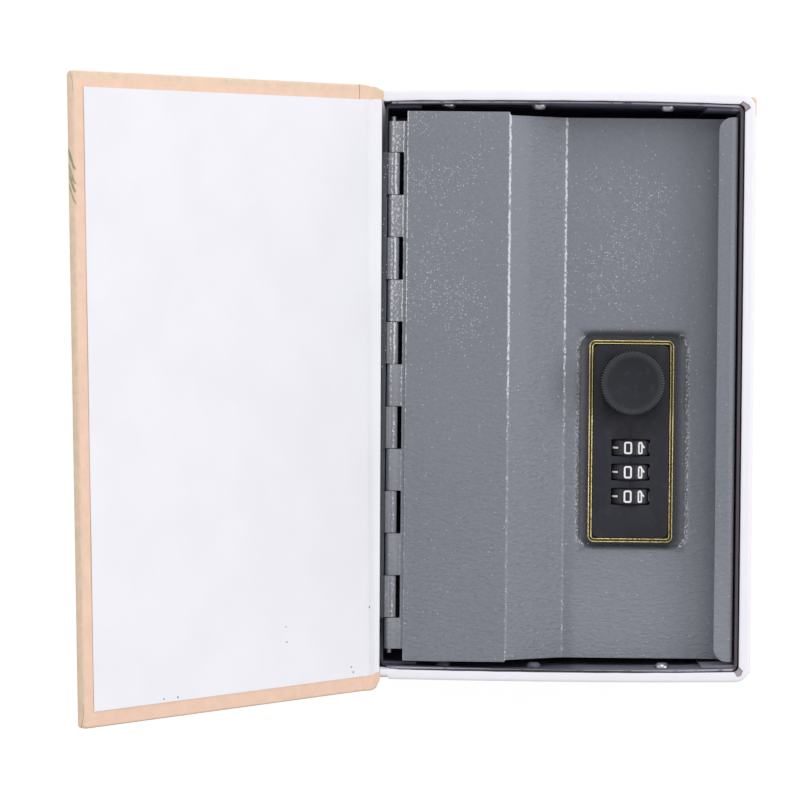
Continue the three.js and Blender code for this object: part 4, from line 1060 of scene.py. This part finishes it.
def lining(book):
    """White lining: down the inside of the spine, over the bulge beside it and across the front cover."""
    far = HALF_WIDTH - book.fore_border - HINGE.x
    wide = [6.4, 8.0] + between(11.0, far, 12.0)
    on_cover = len(GUTTER) + ON_BOOK
    columns = range(on_cover + len(ACROSS) + len(wide))
    low, high = -HALF_LENGTH + book.tail_border, HALF_LENGTH - book.head_border

    def across_of(column):
        stops = ACROSS + wide
        return stops[column - on_cover] if column >= on_cover else (column - on_cover) / 2

    def place(column, share):
        along = low + (high - low) * share
        if column >= on_cover + len(ACROSS):
            return cover_spot(across_of(column), along, book)
        if column < on_cover:
            along += -COVER_TAIL_SHIFT + 0.7 - 0.5 * share
        return inner_spot(column, along, book)

    def unrolled(column, share):
        return (HINGE.x + across_of(column), low + (high - low) * share, BOARD_DEPTH)

    bm = sheet_of(columns, between(0.0, 1.0, 1 / 60), place, unrolled=unrolled)
    thicken(bm, book.wrap_thickness * 0.6, ((-90, 0, 88), (0.74, 0, 0.67)))
    piece("lining_paper", bm, lining_paper("white lining paper"), None,
          ["front_endpaper", "gutter_paper"], JOINT_SPAN)


# ---------------------------------------------------------------- page block

def bow(x, y):
    """How the long sides swell outwards near their middle: 0 to 1, signed like y."""
    reach = BOW_FORE if x > BOW_MIDDLE else BOW_SPINE
    swell = max(0.0, 1 - ((x - BOW_MIDDLE) / reach) ** 2)
    return math.copysign(swell * smooth((abs(y) - 70) / 12), y)


def bowed(node, width, rise):
    """A packed form whose long walls are cut up and swell outwards by rise, more so towards their top."""
    bm = merged_copy(node, width)
    long_edges = [edge for edge in bm.edges if stretch(edge).x > 12]
    bmesh.ops.subdivide_edges(bm, edges=long_edges, cuts=7, use_grid_fill=True)
    for vert in bm.verts:
        if 82 < abs(vert.co.y) < 86.5:
            vert.co.y += rise * bow(vert.co.x, vert.co.y) * smooth((vert.co.z - 20) / 25)
    return bm


# Outlines of the notches in the lip's fore corners, from its inner corner, at the head (1) and the tail (-1)
NOTCHES = {1: [(-2.2, -0.4), (-1.62, 0.17), (-0.73, 1.07), (1.22, -0.1), (1.68, -0.99), (0.05, -2.2),
               (-0.6, -2.8)],
           -1: [(-2.2, -0.6), (-1.43, 0.05), (-0.52, 1.54), (0.68, 1.23), (1.26, -0.28), (0.05, -1.46),
                (-0.7, -2.2)]}


def page_block():
    """White paper round the page block: outer sides, a soft top edge and the lip folded over the frame."""
    low, high = node_box("page_paper")
    left, right, half, top = low.x, high.x, high.y, high.z
    lip, radius = 3.1, 4.0

    def corner(side):
        """Places round a fore corner and the way inwards from each, at the tail (-1) or the head (1)."""
        for i in range(9):
            angle = math.pi / 2 * (i / 8 - (side < 0))
            x, y = math.cos(angle), math.sin(angle)
            yield (right - radius + radius * x, side * (half - radius) + radius * y), (-x, -y)

    # From the spine along the tail, up the fore edge and back along the head, with more stops by the spine
    runs = set(between(left, right - radius, 6.0)[:-1])
    runs = sorted(runs | {left + aside for aside in (1.5, 2.6, 3.0, 3.4, 4.5)})
    path = [((x, -half), (0, 1)) for x in runs] + list(corner(-1))
    path += [((right, y), (-1, 0)) for y in between(-half + radius, half - radius, 6.0)[1:-1]]
    path += list(corner(1)) + [((x, half), (0, -1)) for x in reversed(runs)]
    section = [(0.0, low.z), (0.0, 12.0), (0.02, 26.0), (0.0, 40.0), (0.0, top - 1.0)]
    for step in range(1, 6):
        angle = math.radians(18 * step)
        section.append((0.9 - 0.9 * math.cos(angle), top - 0.9 + 0.9 * math.sin(angle)))
    section += [(1.6, top), (2.3, top - 0.02), (lip - 0.25, top - 0.04), (lip - 0.06, top - 0.14),
                (lip, top - 0.4), (lip, top - 1.2)]

    def place(column, row):
        (x, y), (nx, ny) = path[row]
        inset, z = section[column]
        uneven = 0.05 * math.sin(row * 2.7) * (inset > 2)
        # By the spine the lip sags and runs wider, and at the tail its paper stops short of the corner
        near = smooth((left + 7.0 - x) / 7.0) * (inset > 1.5)
        wide = near * (0.5 if y < 0 else 0.2) * (inset - 1.5) / (lip - 1.5)
        short = 0.75 * (y < 0) * smooth((left + 3.4 - x) / 0.8) * smooth((z - 36) / 12) * smooth(2.2 - inset)
        swell = (0.55 + 0.25 * inset / lip) * bow(x, y)
        return Vector((x + nx * inset, y + ny * (inset + uneven + wide + short) + swell,
                       z - 0.5 * near * (y < 0) * (inset > 2.5)))

    bm = sheet_of(range(len(section)), range(len(path)), place)
    thicken(bm, PAPER, ((right, 0, 25), (1, 0, 0)))
    cutters = bmesh.new()
    for side, notch in NOTCHES.items():
        verts = [cutters.verts.new((right - lip + x, side * (half - lip + y), top - 2.2)) for x, y in notch]
        risen = bmesh.ops.extrude_face_region(cutters, geom=[cutters.faces.new(verts)])["geom"]
        risen = [part for part in risen if isinstance(part, bmesh.types.BMVert)]
        bmesh.ops.translate(cutters, vec=(0, 0, 4), verts=risen)
    bmesh.ops.recalc_face_normals(cutters, faces=cutters.faces)
    piece("page_block_paper", carved(bm, cutters), page_paper("page block paper"), "book",
          ["page_paper"])


def carved(bm, cutters):
    """The first form less the second, both in millimetres."""
    mesh = bpy.data.meshes.new("cutters")
    cutters.to_mesh(mesh)
    cutters.free()
    obj = bpy.data.objects.new("cutters", mesh)
    bpy.context.scene.collection.objects.link(obj)
    baked(bm, "BOOLEAN", operation="DIFFERENCE", solver="EXACT", object=obj)
    bpy.data.objects.remove(obj)
    bpy.data.meshes.remove(mesh)
    return bm


# ---------------------------------------------------------------- lid

def fine_stops(stops, edges, hole):
    """The stops with more of them across the pocket's edges, and one at each edge of the hole."""
    stops = set(stops) | set(hole)
    for edge in edges:
        stops.update(edge + 0.45 * i for i in range(-5, 6))
    stops = sorted(stops)
    return [stop for i, stop in enumerate(stops) if i == 0 or stop - stops[i - 1] > 0.12 or stop in hole]


def lid_panel(box):
    """Pressed lid: raised strip, slope, sunk floor with the lock's pocket, wall and returned lip."""
    low, high = node_box("lid_panel")
    lock_low, lock_high = node_box("lock_body")
    lock_x, lock_y = (lock_low.x + lock_high.x) / 2, (lock_low.y + lock_high.y) / 2
    _, rim = node_middle("lock_rim")
    left, right, top = low.x, high.x, high.z
    second = right - FLOOR_START
    first = second - SLOPE_WIDTH
    floor = top - FLOOR_DEPTH
    under = top - LIP_DROP
    inside = right - LID_SHEET
    lip_left = right - LIP_WIDTH
    # The wall and the floor end short of the raised strip at the tail and the head
    tail, wall_tail = low.y, low.y + WALL_SHORT_TAIL
    head, wall_head = high.y, high.y - WALL_SHORT_HEAD
    bends = [(left, top), (first, top), (second, floor), (inside - 0.55, floor)]
    bends += [(inside, under), (lip_left, under)]
    rounded = filleted([(x, 0, z) for x, z in bends], [box.bend_radius] * 3 + [0.3], 6)
    pocket_x, pocket_y = lock_x + POCKET_ASIDE[0], lock_y + POCKET_ASIDE[1]
    edges_x = (pocket_x - POCKET_HALF[0], pocket_x + POCKET_HALF[0])
    edges_y = (pocket_y - POCKET_HALF[1], pocket_y + POCKET_HALF[1])
    hole_x = (lock_x - HOLE_HALF[0], lock_x + HOLE_HALF[0])
    hole_y = (lock_y - HOLE_HALF[1], lock_y + HOLE_HALF[1])

    # Stops along the bent section: extra ones beside the hinge and over the floor with its pocket
    stops = []
    for here, after in zip(rounded, rounded[1:]):
        stops.append((here.x, here.z))
        length = (after - here).length
        if length > 10 and abs(here.z - floor) < 0.01 and abs(after.z - floor) < 0.01:
            spots = fine_stops(between(here.x, after.x, 1.6)[1:-1], edges_x, hole_x)
            stops += [(spot, floor) for spot in spots if here.x + 0.1 < spot < after.x - 0.1]
        elif length > 8:
            count = math.ceil(length / 5)
            spots = [here.lerp(after, i / count) for i in range(1, count)]
            stops += [(spot.x, spot.z) for spot in spots]
    stops.append((rounded[-1].x, rounded[-1].z))
    stops[1:1] = [(left + aside, top) for aside in (0.9, 1.8, 2.7, 3.6)]
    lip_start = next(i for i, (x, z) in enumerate(stops) if i > len(stops) / 2 and abs(z - under) < 0.01)
    lip_right = stops[lip_start][0]
    lip_run = lip_right - lip_left

    ends = [0.25, 0.7, 1.4, 2.3, 3.2, 4.0]
    rows = [wall_tail + end for end in ends] + [wall_head - end for end in ends]
    rows = fine_stops([tail, head] + rows + between(tail + 6, head - 6, 2.4), edges_y, hole_y)

    def pressed(x, y):
        """1 on the pocket's floor, 0 outside it."""
        dx = abs(x - pocket_x) - POCKET_HALF[0] + POCKET_CORNER
        dy = abs(y - pocket_y) - POCKET_HALF[1] + POCKET_CORNER
        away = math.hypot(max(dx, 0), max(dy, 0)) + min(max(dx, dy), 0) - POCKET_CORNER
        return smooth((0.5 - away) / box.pocket_fade)

    def place(column, row):
        x, z = stops[column]
        beyond = smooth((x - first + 0.3) / 0.5) if column < lip_start else 1.0
        y = row
        if row == tail:
            y = tail + WALL_SHORT_TAIL * beyond
        if row == head:
            y = head - WALL_SHORT_HEAD * beyond
        if column >= lip_start:
            from_end = min(max(0.0, min(y - wall_tail, wall_head - y)), LIP_CORNER)
            curve = LIP_CORNER - math.sqrt(LIP_CORNER ** 2 - (LIP_CORNER - from_end) ** 2)
            x = lip_right - (lip_right - x) / lip_run * (lip_run - curve)
        elif abs(z - floor) < 0.01:
            z -= POCKET_DEPTH * pressed(x, y)
        elif x < left + 7.5:
            # Dished beside the hinge towards the tail, to clear the lining when the lid is fully open
            z -= max(0.0, 0.22 - 0.00465 * y) * smooth((left + 7.0 - x) / 5.0)
        return Vector((x, y, z))

    def depth_share(column, row):
        x, z = stops[column]
        return (0, 0, pressed(x, row) if abs(z - floor) < 0.01 else 0)

    bm = sheet_of(range(len(stops)), rows, place, unrolled=depth_share)
    centres = [(face, face.calc_center_median()) for face in bm.faces]
    gone = [face for face, at in centres if hole_x[0] < at.x < hole_x[1] and hole_y[0] < at.y < hole_y[1]
            and at.z < floor]
    bmesh.ops.delete(bm, geom=gone, context="FACES")
    thicken(bm, LID_SHEET, ((left + 10, 0, top), (0, 0, 1)), even=True)
    round_edges(bm, box.sheet_chamfer, angle=60)
    # Painted highlights along the lid's two bends and its left edge, broken into bright grains
    worn = [(first + 0.1, 0.42, 0.42, 0.5), (second + 0.1, 0.38, 0.44, 0.52), (left + 0.15, 0.16, 0.42, 0.56)]
    paint = hammered_paint("grey hammered paint", box.paint_colour, worn,
                           pocket=(pocket_x, pocket_y, 2 * POCKET_HALF[0], rim.x / 2, rim.y / 2))
    piece("lid_sheet", bm, paint, "lid", ["lid_panel"], sharp=45)


# ---------------------------------------------------------------- lock

def lock_plate(lock):
    """Gold rim: two half-round beads with a groove between them, swept round the plate."""
    centre, size = node_middle("lock_rim")
    base = node_box("lock_rim")[0].z
    face_top = node_box("lock_face")[1].z
    rise, corner = lock.rim_rise, 2.0
    section = [(0.0, base), (0.0, face_top - 0.1)]
    bead_width, fullness = 0.37, 0.7
    for i in range(1, 18):
        share = i / 18
        bead = max(0.0, math.sin(math.pi * min(1.0, min(share, 1 - share) / bead_width)))
        section.append((lock.rim_width * share, face_top - 0.1 + (rise + 0.1) * bead ** fullness))
    section += [(lock.rim_width, face_top - 0.1), (lock.rim_width, base)]
    rings = [rounded_ring(centre.x, centre.y, size.x, size.y, corner, inset) for inset, _ in section]
    count = len(rings[0])
    columns = range(len(section) + 1)
    rows = list(range(count + 1))
    bm = sheet_of(columns, rows, lambda c, r: Vector((*rings[c % len(section)][r % count],
                                                      section[c % len(section)][1])), closed=True,
                  unrolled=lambda c, r: (section[c % len(section)][0], 0, 0))
    outward(bm, ((centre.x, centre.y + size.y / 2 - lock.rim_width / 4, face_top + rise), (0, 0, 1)))
    piece("lock_gold_rim", bm, gold_plate("gold plate"), "lid", ["lock_rim"], sharp=60)


STROKES = {
    0: [((0, 0), (1, 0), (1, 1), (0, 1), True)],
    1: [((0.5, -0.1), (0.5, 1.02), False)],
    2: [((0, 0.75), (0, 1), (1, 1), (1, 0.55), (0, 0), (1, 0), False)],
    3: [((0, 1), (1, 1), (1, 0.52), (0.3, 0.52), False), ((1, 0.52), (1, 0), (0, 0), False)],
    4: [((0.72, 0), (0.72, 1), (0, 0.3), (1, 0.3), False)],
    5: [((1, 1), (0, 1), (0, 0.55), (1, 0.55), (1, 0), (0, 0), False)],
    6: [((0, 0), (1, 0), (1, 0.56), (0, 0.56), True), ((0, 0.3), (0.5, 1), False)],
    7: [((0, 1), (1, 1), (0.45, 0), False)],
    8: [((0, 0), (1, 0), (1, 0.5), (0, 0.5), True), ((0.1, 0.5), (0.9, 0.5), (0.9, 1), (0.1, 1), True)],
    9: [((0, 0.44), (1, 0.44), (1, 1), (0, 1), True), ((1, 0.7), (0.5, 0), False)],
}


def wheel_radius(lock, radius, angle):
    """Radius of a wheel at an angle: it stands a little higher between the numbers."""
    phase = (angle - ZERO_ANGLE) / NUMBER_STEP
    return radius - lock.wheel_ridge * (0.5 + 0.5 * math.cos(2 * math.pi * phase))


def code_wheels(lock):
    """Wheels with a ridge between the numbers, and the numbers round them."""
    for number in (1, 2, 3):
        node = f"code_wheel_{number}"
        centre, size = node_middle(node)
        radius, half = size.z / 2, size.y / 2
        # From the bore outwards: a shallow groove in the side, then the rounded edge
        bore, side = 1.6, [(1.6, 0.0), (1.3, 0.25), (0.9, 0.25), (0.6, 0.0), (0.35, 0.0), (0.0, 0.35)]
        profile = [(bore, -half)] + [(radius - inset, sunk - half) for inset, sunk in side]
        profile += [(radius, 0.0)] + [(radius - inset, half - sunk) for inset, sunk in reversed(side)]
        profile += [(bore, half), (bore, -half)]
        bm = turned(profile, 80, turn=Matrix.Rotation(math.pi / 2, 4, "X"))
        for vert in bm.verts:
            reach = math.hypot(vert.co.x, vert.co.z)
            if reach > radius - 1.0:
                angle = math.atan2(vert.co.x, vert.co.z)
                share = wheel_radius(lock, radius, angle) / radius
                vert.co.x *= share
                vert.co.z *= share
        bmesh.ops.translate(bm, vec=centre, verts=bm.verts)
        piece(f"number_wheel_{number}", bm, moulded_plastic("wheel plastic", tone(40, 40, 45), 0.38, 0.03),
              node, [node], sharp=30)
        digits = bmesh.new()
        for value, strokes in STROKES.items():
            for *points, cyclic in strokes:
                add_stroke(digits, lock, points, cyclic, value, centre, radius)
        piece(f"wheel_numbers_{number}", digits, number_paint("white numbers"), node,
              sharp=50)


def add_stroke(digits, lock, points, cyclic, value, centre, radius):
    """One painted stroke of a number, as a low rounded ribbon bent round the wheel."""
    flat = [Vector(((px - 0.5) * NUMBER_WIDTH, (py - 0.5) * NUMBER_HEIGHT, 0)) for px, py in points]
    if cyclic:
        start = (flat[0] + flat[-1]) / 2
        path = filleted([start] + flat + [start], 0.55, 4)
    else:
        path = filleted(flat, 0.4, 4)
    dense = [path[0]]
    for here, after in zip(path, path[1:]):
        for i in (1, 2, 3):
            spot = here.lerp(after, i / 3)
            if (spot - dense[-1]).length > 0.03:
                dense.append(spot)
    if cyclic:
        dense.pop()
    half = lock.stroke / 2
    count = len(dense)
    ribs = []
    for i, here in enumerate(dense):
        before = dense[(i - 1) % count] if cyclic or i > 0 else here
        after = dense[(i + 1) % count] if cyclic or i < count - 1 else here
        ribs.append((here, (after - before).normalized().cross(Vector((0, 0, 1)))))
    # Across the ribbon in half strokes, and above the wheel
    section = [(-1.0, -0.03), (-0.75, 0.06), (0.0, 0.07), (0.75, 0.06), (1.0, -0.03), (0.0, -0.05)]

    def place(column, row):
        here, side = ribs[row % count]
        aside, lift = section[column % len(section)]
        spot = here + side * half * aside
        angle = ZERO_ANGLE - NUMBER_STEP * value - spot.y / radius
        reach = wheel_radius(lock, radius, angle) + lift
        return centre + Vector((reach * math.sin(angle), spot.x, reach * math.cos(angle)))

    stroke = sheet_of(range(len(section) + 1), range(count + cyclic), place, closed=True)
    if not cyclic:
        bmesh.ops.holes_fill(stroke, edges=[edge for edge in stroke.edges if edge.is_boundary], sides=0)
    bmesh.ops.recalc_face_normals(stroke, faces=stroke.faces)
    joined(digits, stroke)


def knob(lock):
    """Turned knob with a dished top and teeth round its side."""
    middle, size = node_middle("knob")
    centre = middle - Vector((0, 0, size.z / 2))
    radius, height = size.x / 2 + 0.25, size.z
    foot = radius - 0.5
    # Hollow below for the spindle, a foot, the side, the rounded rim and the dished top
    profile = [(0, 3.8), (4.1, 3.8), (4.1, 0.0), (foot - 0.4, 0.0), (foot, 0.35), (foot, 0.8), (radius, 1.0)]
    profile += [(radius - 0.06 * i / 6, 1.0 + (height - 1.5) * i / 6) for i in range(1, 7)]
    profile += [(radius - 0.1, height - 0.14), (radius - 0.18, height - 0.05), (radius - 0.62, height),
                (radius - 1.3, height), (radius - 2.0, height - 0.1), (radius - 3.2, height - 0.3),
                (radius - 5.0, height - 0.42), (1.2, height - 0.46), (0, height - 0.46)]
    bm = turned(profile, 2 * lock.knurls, centre)
    for vert in bm.verts:
        flat = Vector((vert.co.x - centre.x, vert.co.y - centre.y))
        up = vert.co.z - centre.z
        if flat.length > radius - 0.2 and up > 0.9:
            tooth = round(math.atan2(flat.y, flat.x) / math.pi * lock.knurls)
            if tooth % 2:
                pull = 1 - lock.knurl_depth / flat.length
                vert.co.x = centre.x + flat.x * pull
                vert.co.y = centre.y + flat.y * pull
    piece("turning_knob", bm, moulded_plastic("knob plastic", lock.knob_colour, 0.46, 0.045,
                                              ring=(centre.x, centre.y, radius)),
          "knob", ["knob"], sharp=50)


# ---------------------------------------------------------------- operators

class Builder:
    """What all the steps share."""
    bl_options = {"REGISTER", "UNDO"}


class BOOKSAFE_OT_front_cover(Builder, bpy.types.Operator):
    """Printed paper round the open front cover, and its board"""
    bl_idname = "booksafe.front_cover"
    bl_label = "Front cover"

    def execute(self, context):
        front_cover(settings("book"))
        dress(["front_board"], greyboard("bare greyboard"))
        return {"FINISHED"}


class BOOKSAFE_OT_joint(Builder, bpy.types.Operator):
    """Paper joint between the front cover and the spine, with the white lining inside"""
    bl_idname = "booksafe.joint"
    bl_label = "Joint and lining"

    def execute(self, context):
        book = settings("book")
        piece("joint_paper", joint_paper(book), printed_paper("printed paper"), None,
              ["cover_joint_fold"], JOINT_SPAN)
        lining(book)
        return {"FINISHED"}


class BOOKSAFE_OT_back_case(Builder, bpy.types.Operator):
    """Spine and back cover with their boards and the paper under the page block"""
    bl_idname = "booksafe.back_case"
    bl_label = "Spine and back cover"

    def execute(self, context):
        back_case(settings("book"))
        dress(["back_board"], greyboard("bare greyboard"))
        return {"FINISHED"}


class BOOKSAFE_OT_page_block(Builder, bpy.types.Operator):
    """White paper round the page block and the board frame beneath it"""
    bl_idname = "booksafe.page_block"
    bl_label = "Page block"

    def execute(self, context):
        page_block()
        piece("block_board", bowed("page_frame", 0, FRAME_BOW), greyboard("bare greyboard"),
              "book", ["page_frame"])
        return {"FINISHED"}


class BOOKSAFE_OT_steel_box(Builder, bpy.types.Operator):
    """Folded steel box, its catch and its screws"""
    bl_idname = "booksafe.steel_box"
    bl_label = "Steel box"

    def execute(self, context):
        box = settings("box")
        top = node_box("steel_box")[1]
        paint = hammered_paint("box paint", box.box_colour, glint_share=0.15, grain=0.7,
                               rim_highlight=(top.y, top.z))
        piece("folded_box", bowed("steel_box", 0.2, WALL_BOW), paint, "book", ["steel_box"])
        piece("catch", merged_copy("catch_bracket", 0.15), paint, "book", ["catch_bracket"])
        for number in range(1, 7):
            node = f"box_screw_{number}"
            screw = merged_copy(node, 0.08)
            middle, _ = node_middle(node)
            bmesh.ops.translate(screw, vec=(0, SCREW_BOW * bow(middle.x, middle.y), 0), verts=screw.verts)
            # Those at the tail by the spine were painted over with the box
            finish = paint if middle.y < 0 and middle.x < 0 else plated_steel()
            piece(f"wall_screw_{number}", screw, finish, "book", [node], sharp=50)
        return {"FINISHED"}


class BOOKSAFE_OT_hinge(Builder, bpy.types.Operator):
    """Piano hinge: both leaves and the pin"""
    bl_idname = "booksafe.hinge"
    bl_label = "Piano hinge"

    def execute(self, context):
        box = settings("box")
        # Painted highlights along the rolls of both leaves and the edges of the lid leaf's windows; below x
        # -54.9 the box leaf is painted in shade
        specks = [(-53.45, 0.4, 0.44, 0.56), (-52.2, 1.7, 0.55, 0.64), (-50.3, 0.16, 0.42, 0.52)]
        lid_paint = hammered_paint("hinge paint", box.hinge_colour, specks, 1.0, 1.0)
        box_paint = hammered_paint("hinge paint, box side", tone(124, 126, 135),
                                   [(-52.55, 0.3, 0.38, 0.5), (-53.6, 0.25, 0.5, 0.6)], 1.0, 0.9,
                                   dark_below=-54.9)
        lid_leaf = merged_copy("lid_hinge_leaf", 0.1)
        for vert in lid_leaf.verts:
            if -51.4 < vert.co.x < -50.3:
                vert.co.x += 0.45
        box_leaf = merged_copy("box_hinge_leaf", 0.1)
        middle, _ = node_middle("hinge_pin")
        top = node_box("box_hinge_leaf")[1].z
        for vert in box_leaf.verts:
            aside = vert.co.x - middle.x
            if aside > 0.05:
                vert.co.x = middle.x + 1.26 * aside
                if vert.co.z > middle.z:
                    vert.co.z = top - 0.55 * (top - vert.co.z)
        piece("lid_leaf", lid_leaf, lid_paint, "lid", ["lid_hinge_leaf"])
        piece("box_leaf", box_leaf, box_paint, "book", ["box_hinge_leaf"])
        piece("hinge_wire", merged_copy("hinge_pin", 0.15),
              bare_metal("hinge wire", tone(150, 150, 154), 0.4), "book", ["hinge_pin"], sharp=50)
        return {"FINISHED"}


class BOOKSAFE_OT_lid(Builder, bpy.types.Operator):
    """Pressed steel lid with its hammered paint"""
    bl_idname = "booksafe.lid"
    bl_label = "Lid"

    def execute(self, context):
        lid_panel(settings("box"))
        return {"FINISHED"}


class BOOKSAFE_OT_lock(Builder, bpy.types.Operator):
    """Lock housing, plate and gold rim"""
    bl_idname = "booksafe.lock"
    bl_label = "Lock plate and housing"

    def execute(self, context):
        lock = settings("lock")
        lock_plate(lock)
        middle, size = node_middle("lock_face")
        tail = middle.y - size.y / 2
        plate = moulded_plastic("plate plastic", lock.plate_colour, 0.52, 0.06,
                                groove=(middle.x - 0.1, tail + 9.6, tail + 33.5))
        face = merged_copy("lock_face", 0)
        round_edges(face, 0.4, 3, 60, lambda edge: stretch(edge).z > 0.5)
        piece("window_plate", round_edges(face, 0.12), plate, "lid", ["lock_face"])
        case = moulded_plastic("housing plastic", tone(38, 38, 43), 0.5, 0.05)
        piece("lock_housing", merged_copy("lock_body", 0.12), case, "lid", ["lock_body"])
        piece("housing_cover", merged_copy("lock_back_cover"), case, "lid",
              ["lock_back_cover"])
        piece("retaining_frame", merged_copy("lock_retainer", 0.12), plated_steel(), "lid",
              ["lock_retainer"])
        screws = [f"back_cover_screw_{number}" for number in range(1, 5)]
        dress(screws + ["wheel_axle", "detent_spring", "locking_bar"], plated_steel())
        return {"FINISHED"}


class BOOKSAFE_OT_wheels(Builder, bpy.types.Operator):
    """Code wheels with their numbers and the rings behind them"""
    bl_idname = "booksafe.wheels"
    bl_label = "Code wheels"

    def execute(self, context):
        code_wheels(settings("lock"))
        brass = bare_metal("brass rings", tone(206, 178, 112), 0.36)
        dress([f"gate_ring_{number}" for number in (1, 2, 3)], brass)
        return {"FINISHED"}


class BOOKSAFE_OT_knob(Builder, bpy.types.Operator):
    """Knob with its spindle, clip, cam and screw"""
    bl_idname = "booksafe.knob"
    bl_label = "Knob and cam"

    def execute(self, context):
        knob(settings("lock"))
        for node, name in (("cam", "locking_cam"), ("spindle_clip", "spindle_ring")):
            piece(name, merged_copy(node, 0.12), plated_steel(), "knob", [node])
        dress(["knob_spindle", "cam_screw"], plated_steel())
        return {"FINISHED"}


class BOOKSAFE_OT_stage(Builder, bpy.types.Operator):
    """Pale floor, soft light and the camera of the photograph"""
    bl_idname = "booksafe.stage"
    bl_label = "Stage"

    def execute(self, context):
        stage = settings("stage")
        scene = context.scene
        camera = bpy.data.objects.new("camera", bpy.data.cameras.new("camera"))
        camera.data.lens = stage.lens
        camera.data.sensor_width = 36.0
        camera.data.clip_end = 20.0
        camera.matrix_world = Matrix.Translation(stage.camera_place)
        for angle, axis in zip(stage.camera_turn, "XYZ"):
            camera.matrix_world @= Matrix.Rotation(-angle, 4, axis)
        scene.collection.objects.link(camera)
        scene.camera = camera
        floor = bmesh.new()
        bmesh.ops.create_grid(floor, x_segments=1, y_segments=1, size=3.0)
        mesh = bpy.data.meshes.new("floor")
        floor.to_mesh(mesh)
        floor.free()
        mesh.materials.append(floor_paper("floor paper"))
        ground = bpy.data.objects.new("floor", mesh)
        scene.collection.objects.link(ground)
        self.lamp(scene, "head lamp", (0.1, 1.15, 1.05), (0.0, 0.0, 0.03), 1.1, stage.head_power)
        self.lamp(scene, "side lamp", (1.25, 0.15, 0.8), (0.0, 0.0, 0.04), 0.9, stage.side_power)
        self.lamp(scene, "fill lamp", (-1.2, 0.1, 0.85), (-0.1, 0.0, 0.05), 0.9, stage.fill_power)
        self.room(scene, stage)
        scene.view_settings.view_transform = "Standard"
        return {"FINISHED"}

    def lamp(self, scene, name, place, aim, size, power):
        light = bpy.data.lights.new(name, "AREA")
        light.size = size
        light.energy = power
        obj = bpy.data.objects.new(name, light)
        direction = Vector(aim) - Vector(place)
        obj.matrix_world = Matrix.Translation(place) @ direction.to_track_quat("-Z", "Y").to_matrix().to_4x4()
        scene.collection.objects.link(obj)

    def room(self, scene, stage):
        world = bpy.data.worlds.new("room")
        world.use_nodes = True
        scene.world = world
        nodes = Nodes(world.node_tree)
        rays = nodes.add("LightPath").outputs
        seen = nodes.most(rays["Is Camera Ray"], rays["Is Transmission Ray"])
        level = nodes.add("MapRange", {"Value": seen, "To Min": stage.world_level, "To Max": 1.0}).outputs[0]
        nodes.put(nodes.tree.nodes["Background"], {"Color": (1, 1, 1, 1), "Strength": level})


def dress(nodes, material):
    """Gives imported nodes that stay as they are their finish."""
    for node in nodes:
        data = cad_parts[node].data
        data.materials.clear()
        data.materials.append(material)


class BOOKSAFE_PT_panel(bpy.types.Panel):
    """Lists the steps that dress the book safe"""
    bl_label = "Book safe"
    bl_idname = "BOOKSAFE_PT_panel"
    bl_space_type = "VIEW_3D"
    bl_region_type = "UI"
    bl_category = "Book safe"

    def draw(self, context):
        for step in STEPS:
            self.layout.operator(step.bl_idname)
        for part in GROUPS:
            group = settings(part)
            box = self.layout.box()
            for key in group.bl_rna.properties.keys():
                if key not in ("rna_type", "name"):
                    box.prop(group, key)


GROUPS = {"book": BookSafeBook, "box": BookSafeBox, "lock": BookSafeLock, "stage": BookSafeStage}
STEPS = (BOOKSAFE_OT_stage, BOOKSAFE_OT_front_cover, BOOKSAFE_OT_joint, BOOKSAFE_OT_back_case,
         BOOKSAFE_OT_page_block, BOOKSAFE_OT_steel_box, BOOKSAFE_OT_hinge, BOOKSAFE_OT_lid, BOOKSAFE_OT_lock,
         BOOKSAFE_OT_wheels, BOOKSAFE_OT_knob)


def register():
    for group in GROUPS.values():
        bpy.utils.register_class(group)
    for step in STEPS:
        bpy.utils.register_class(step)
    bpy.utils.register_class(BOOKSAFE_PT_panel)
    for part, group in GROUPS.items():
        setattr(bpy.types.Scene, "book_safe_" + part, bpy.props.PointerProperty(type=group))


def unregister():
    for part in GROUPS:
        delattr(bpy.types.Scene, "book_safe_" + part)
    bpy.utils.unregister_class(BOOKSAFE_PT_panel)
    for step in reversed(STEPS):
        bpy.utils.unregister_class(step)
    for group in reversed(GROUPS.values()):
        bpy.utils.unregister_class(group)


def main():
    register()
    for step in STEPS:
        package, name = step.bl_idname.split(".")
        getattr(getattr(bpy.ops, package), name)()


if __name__ == "__main__":
    main()
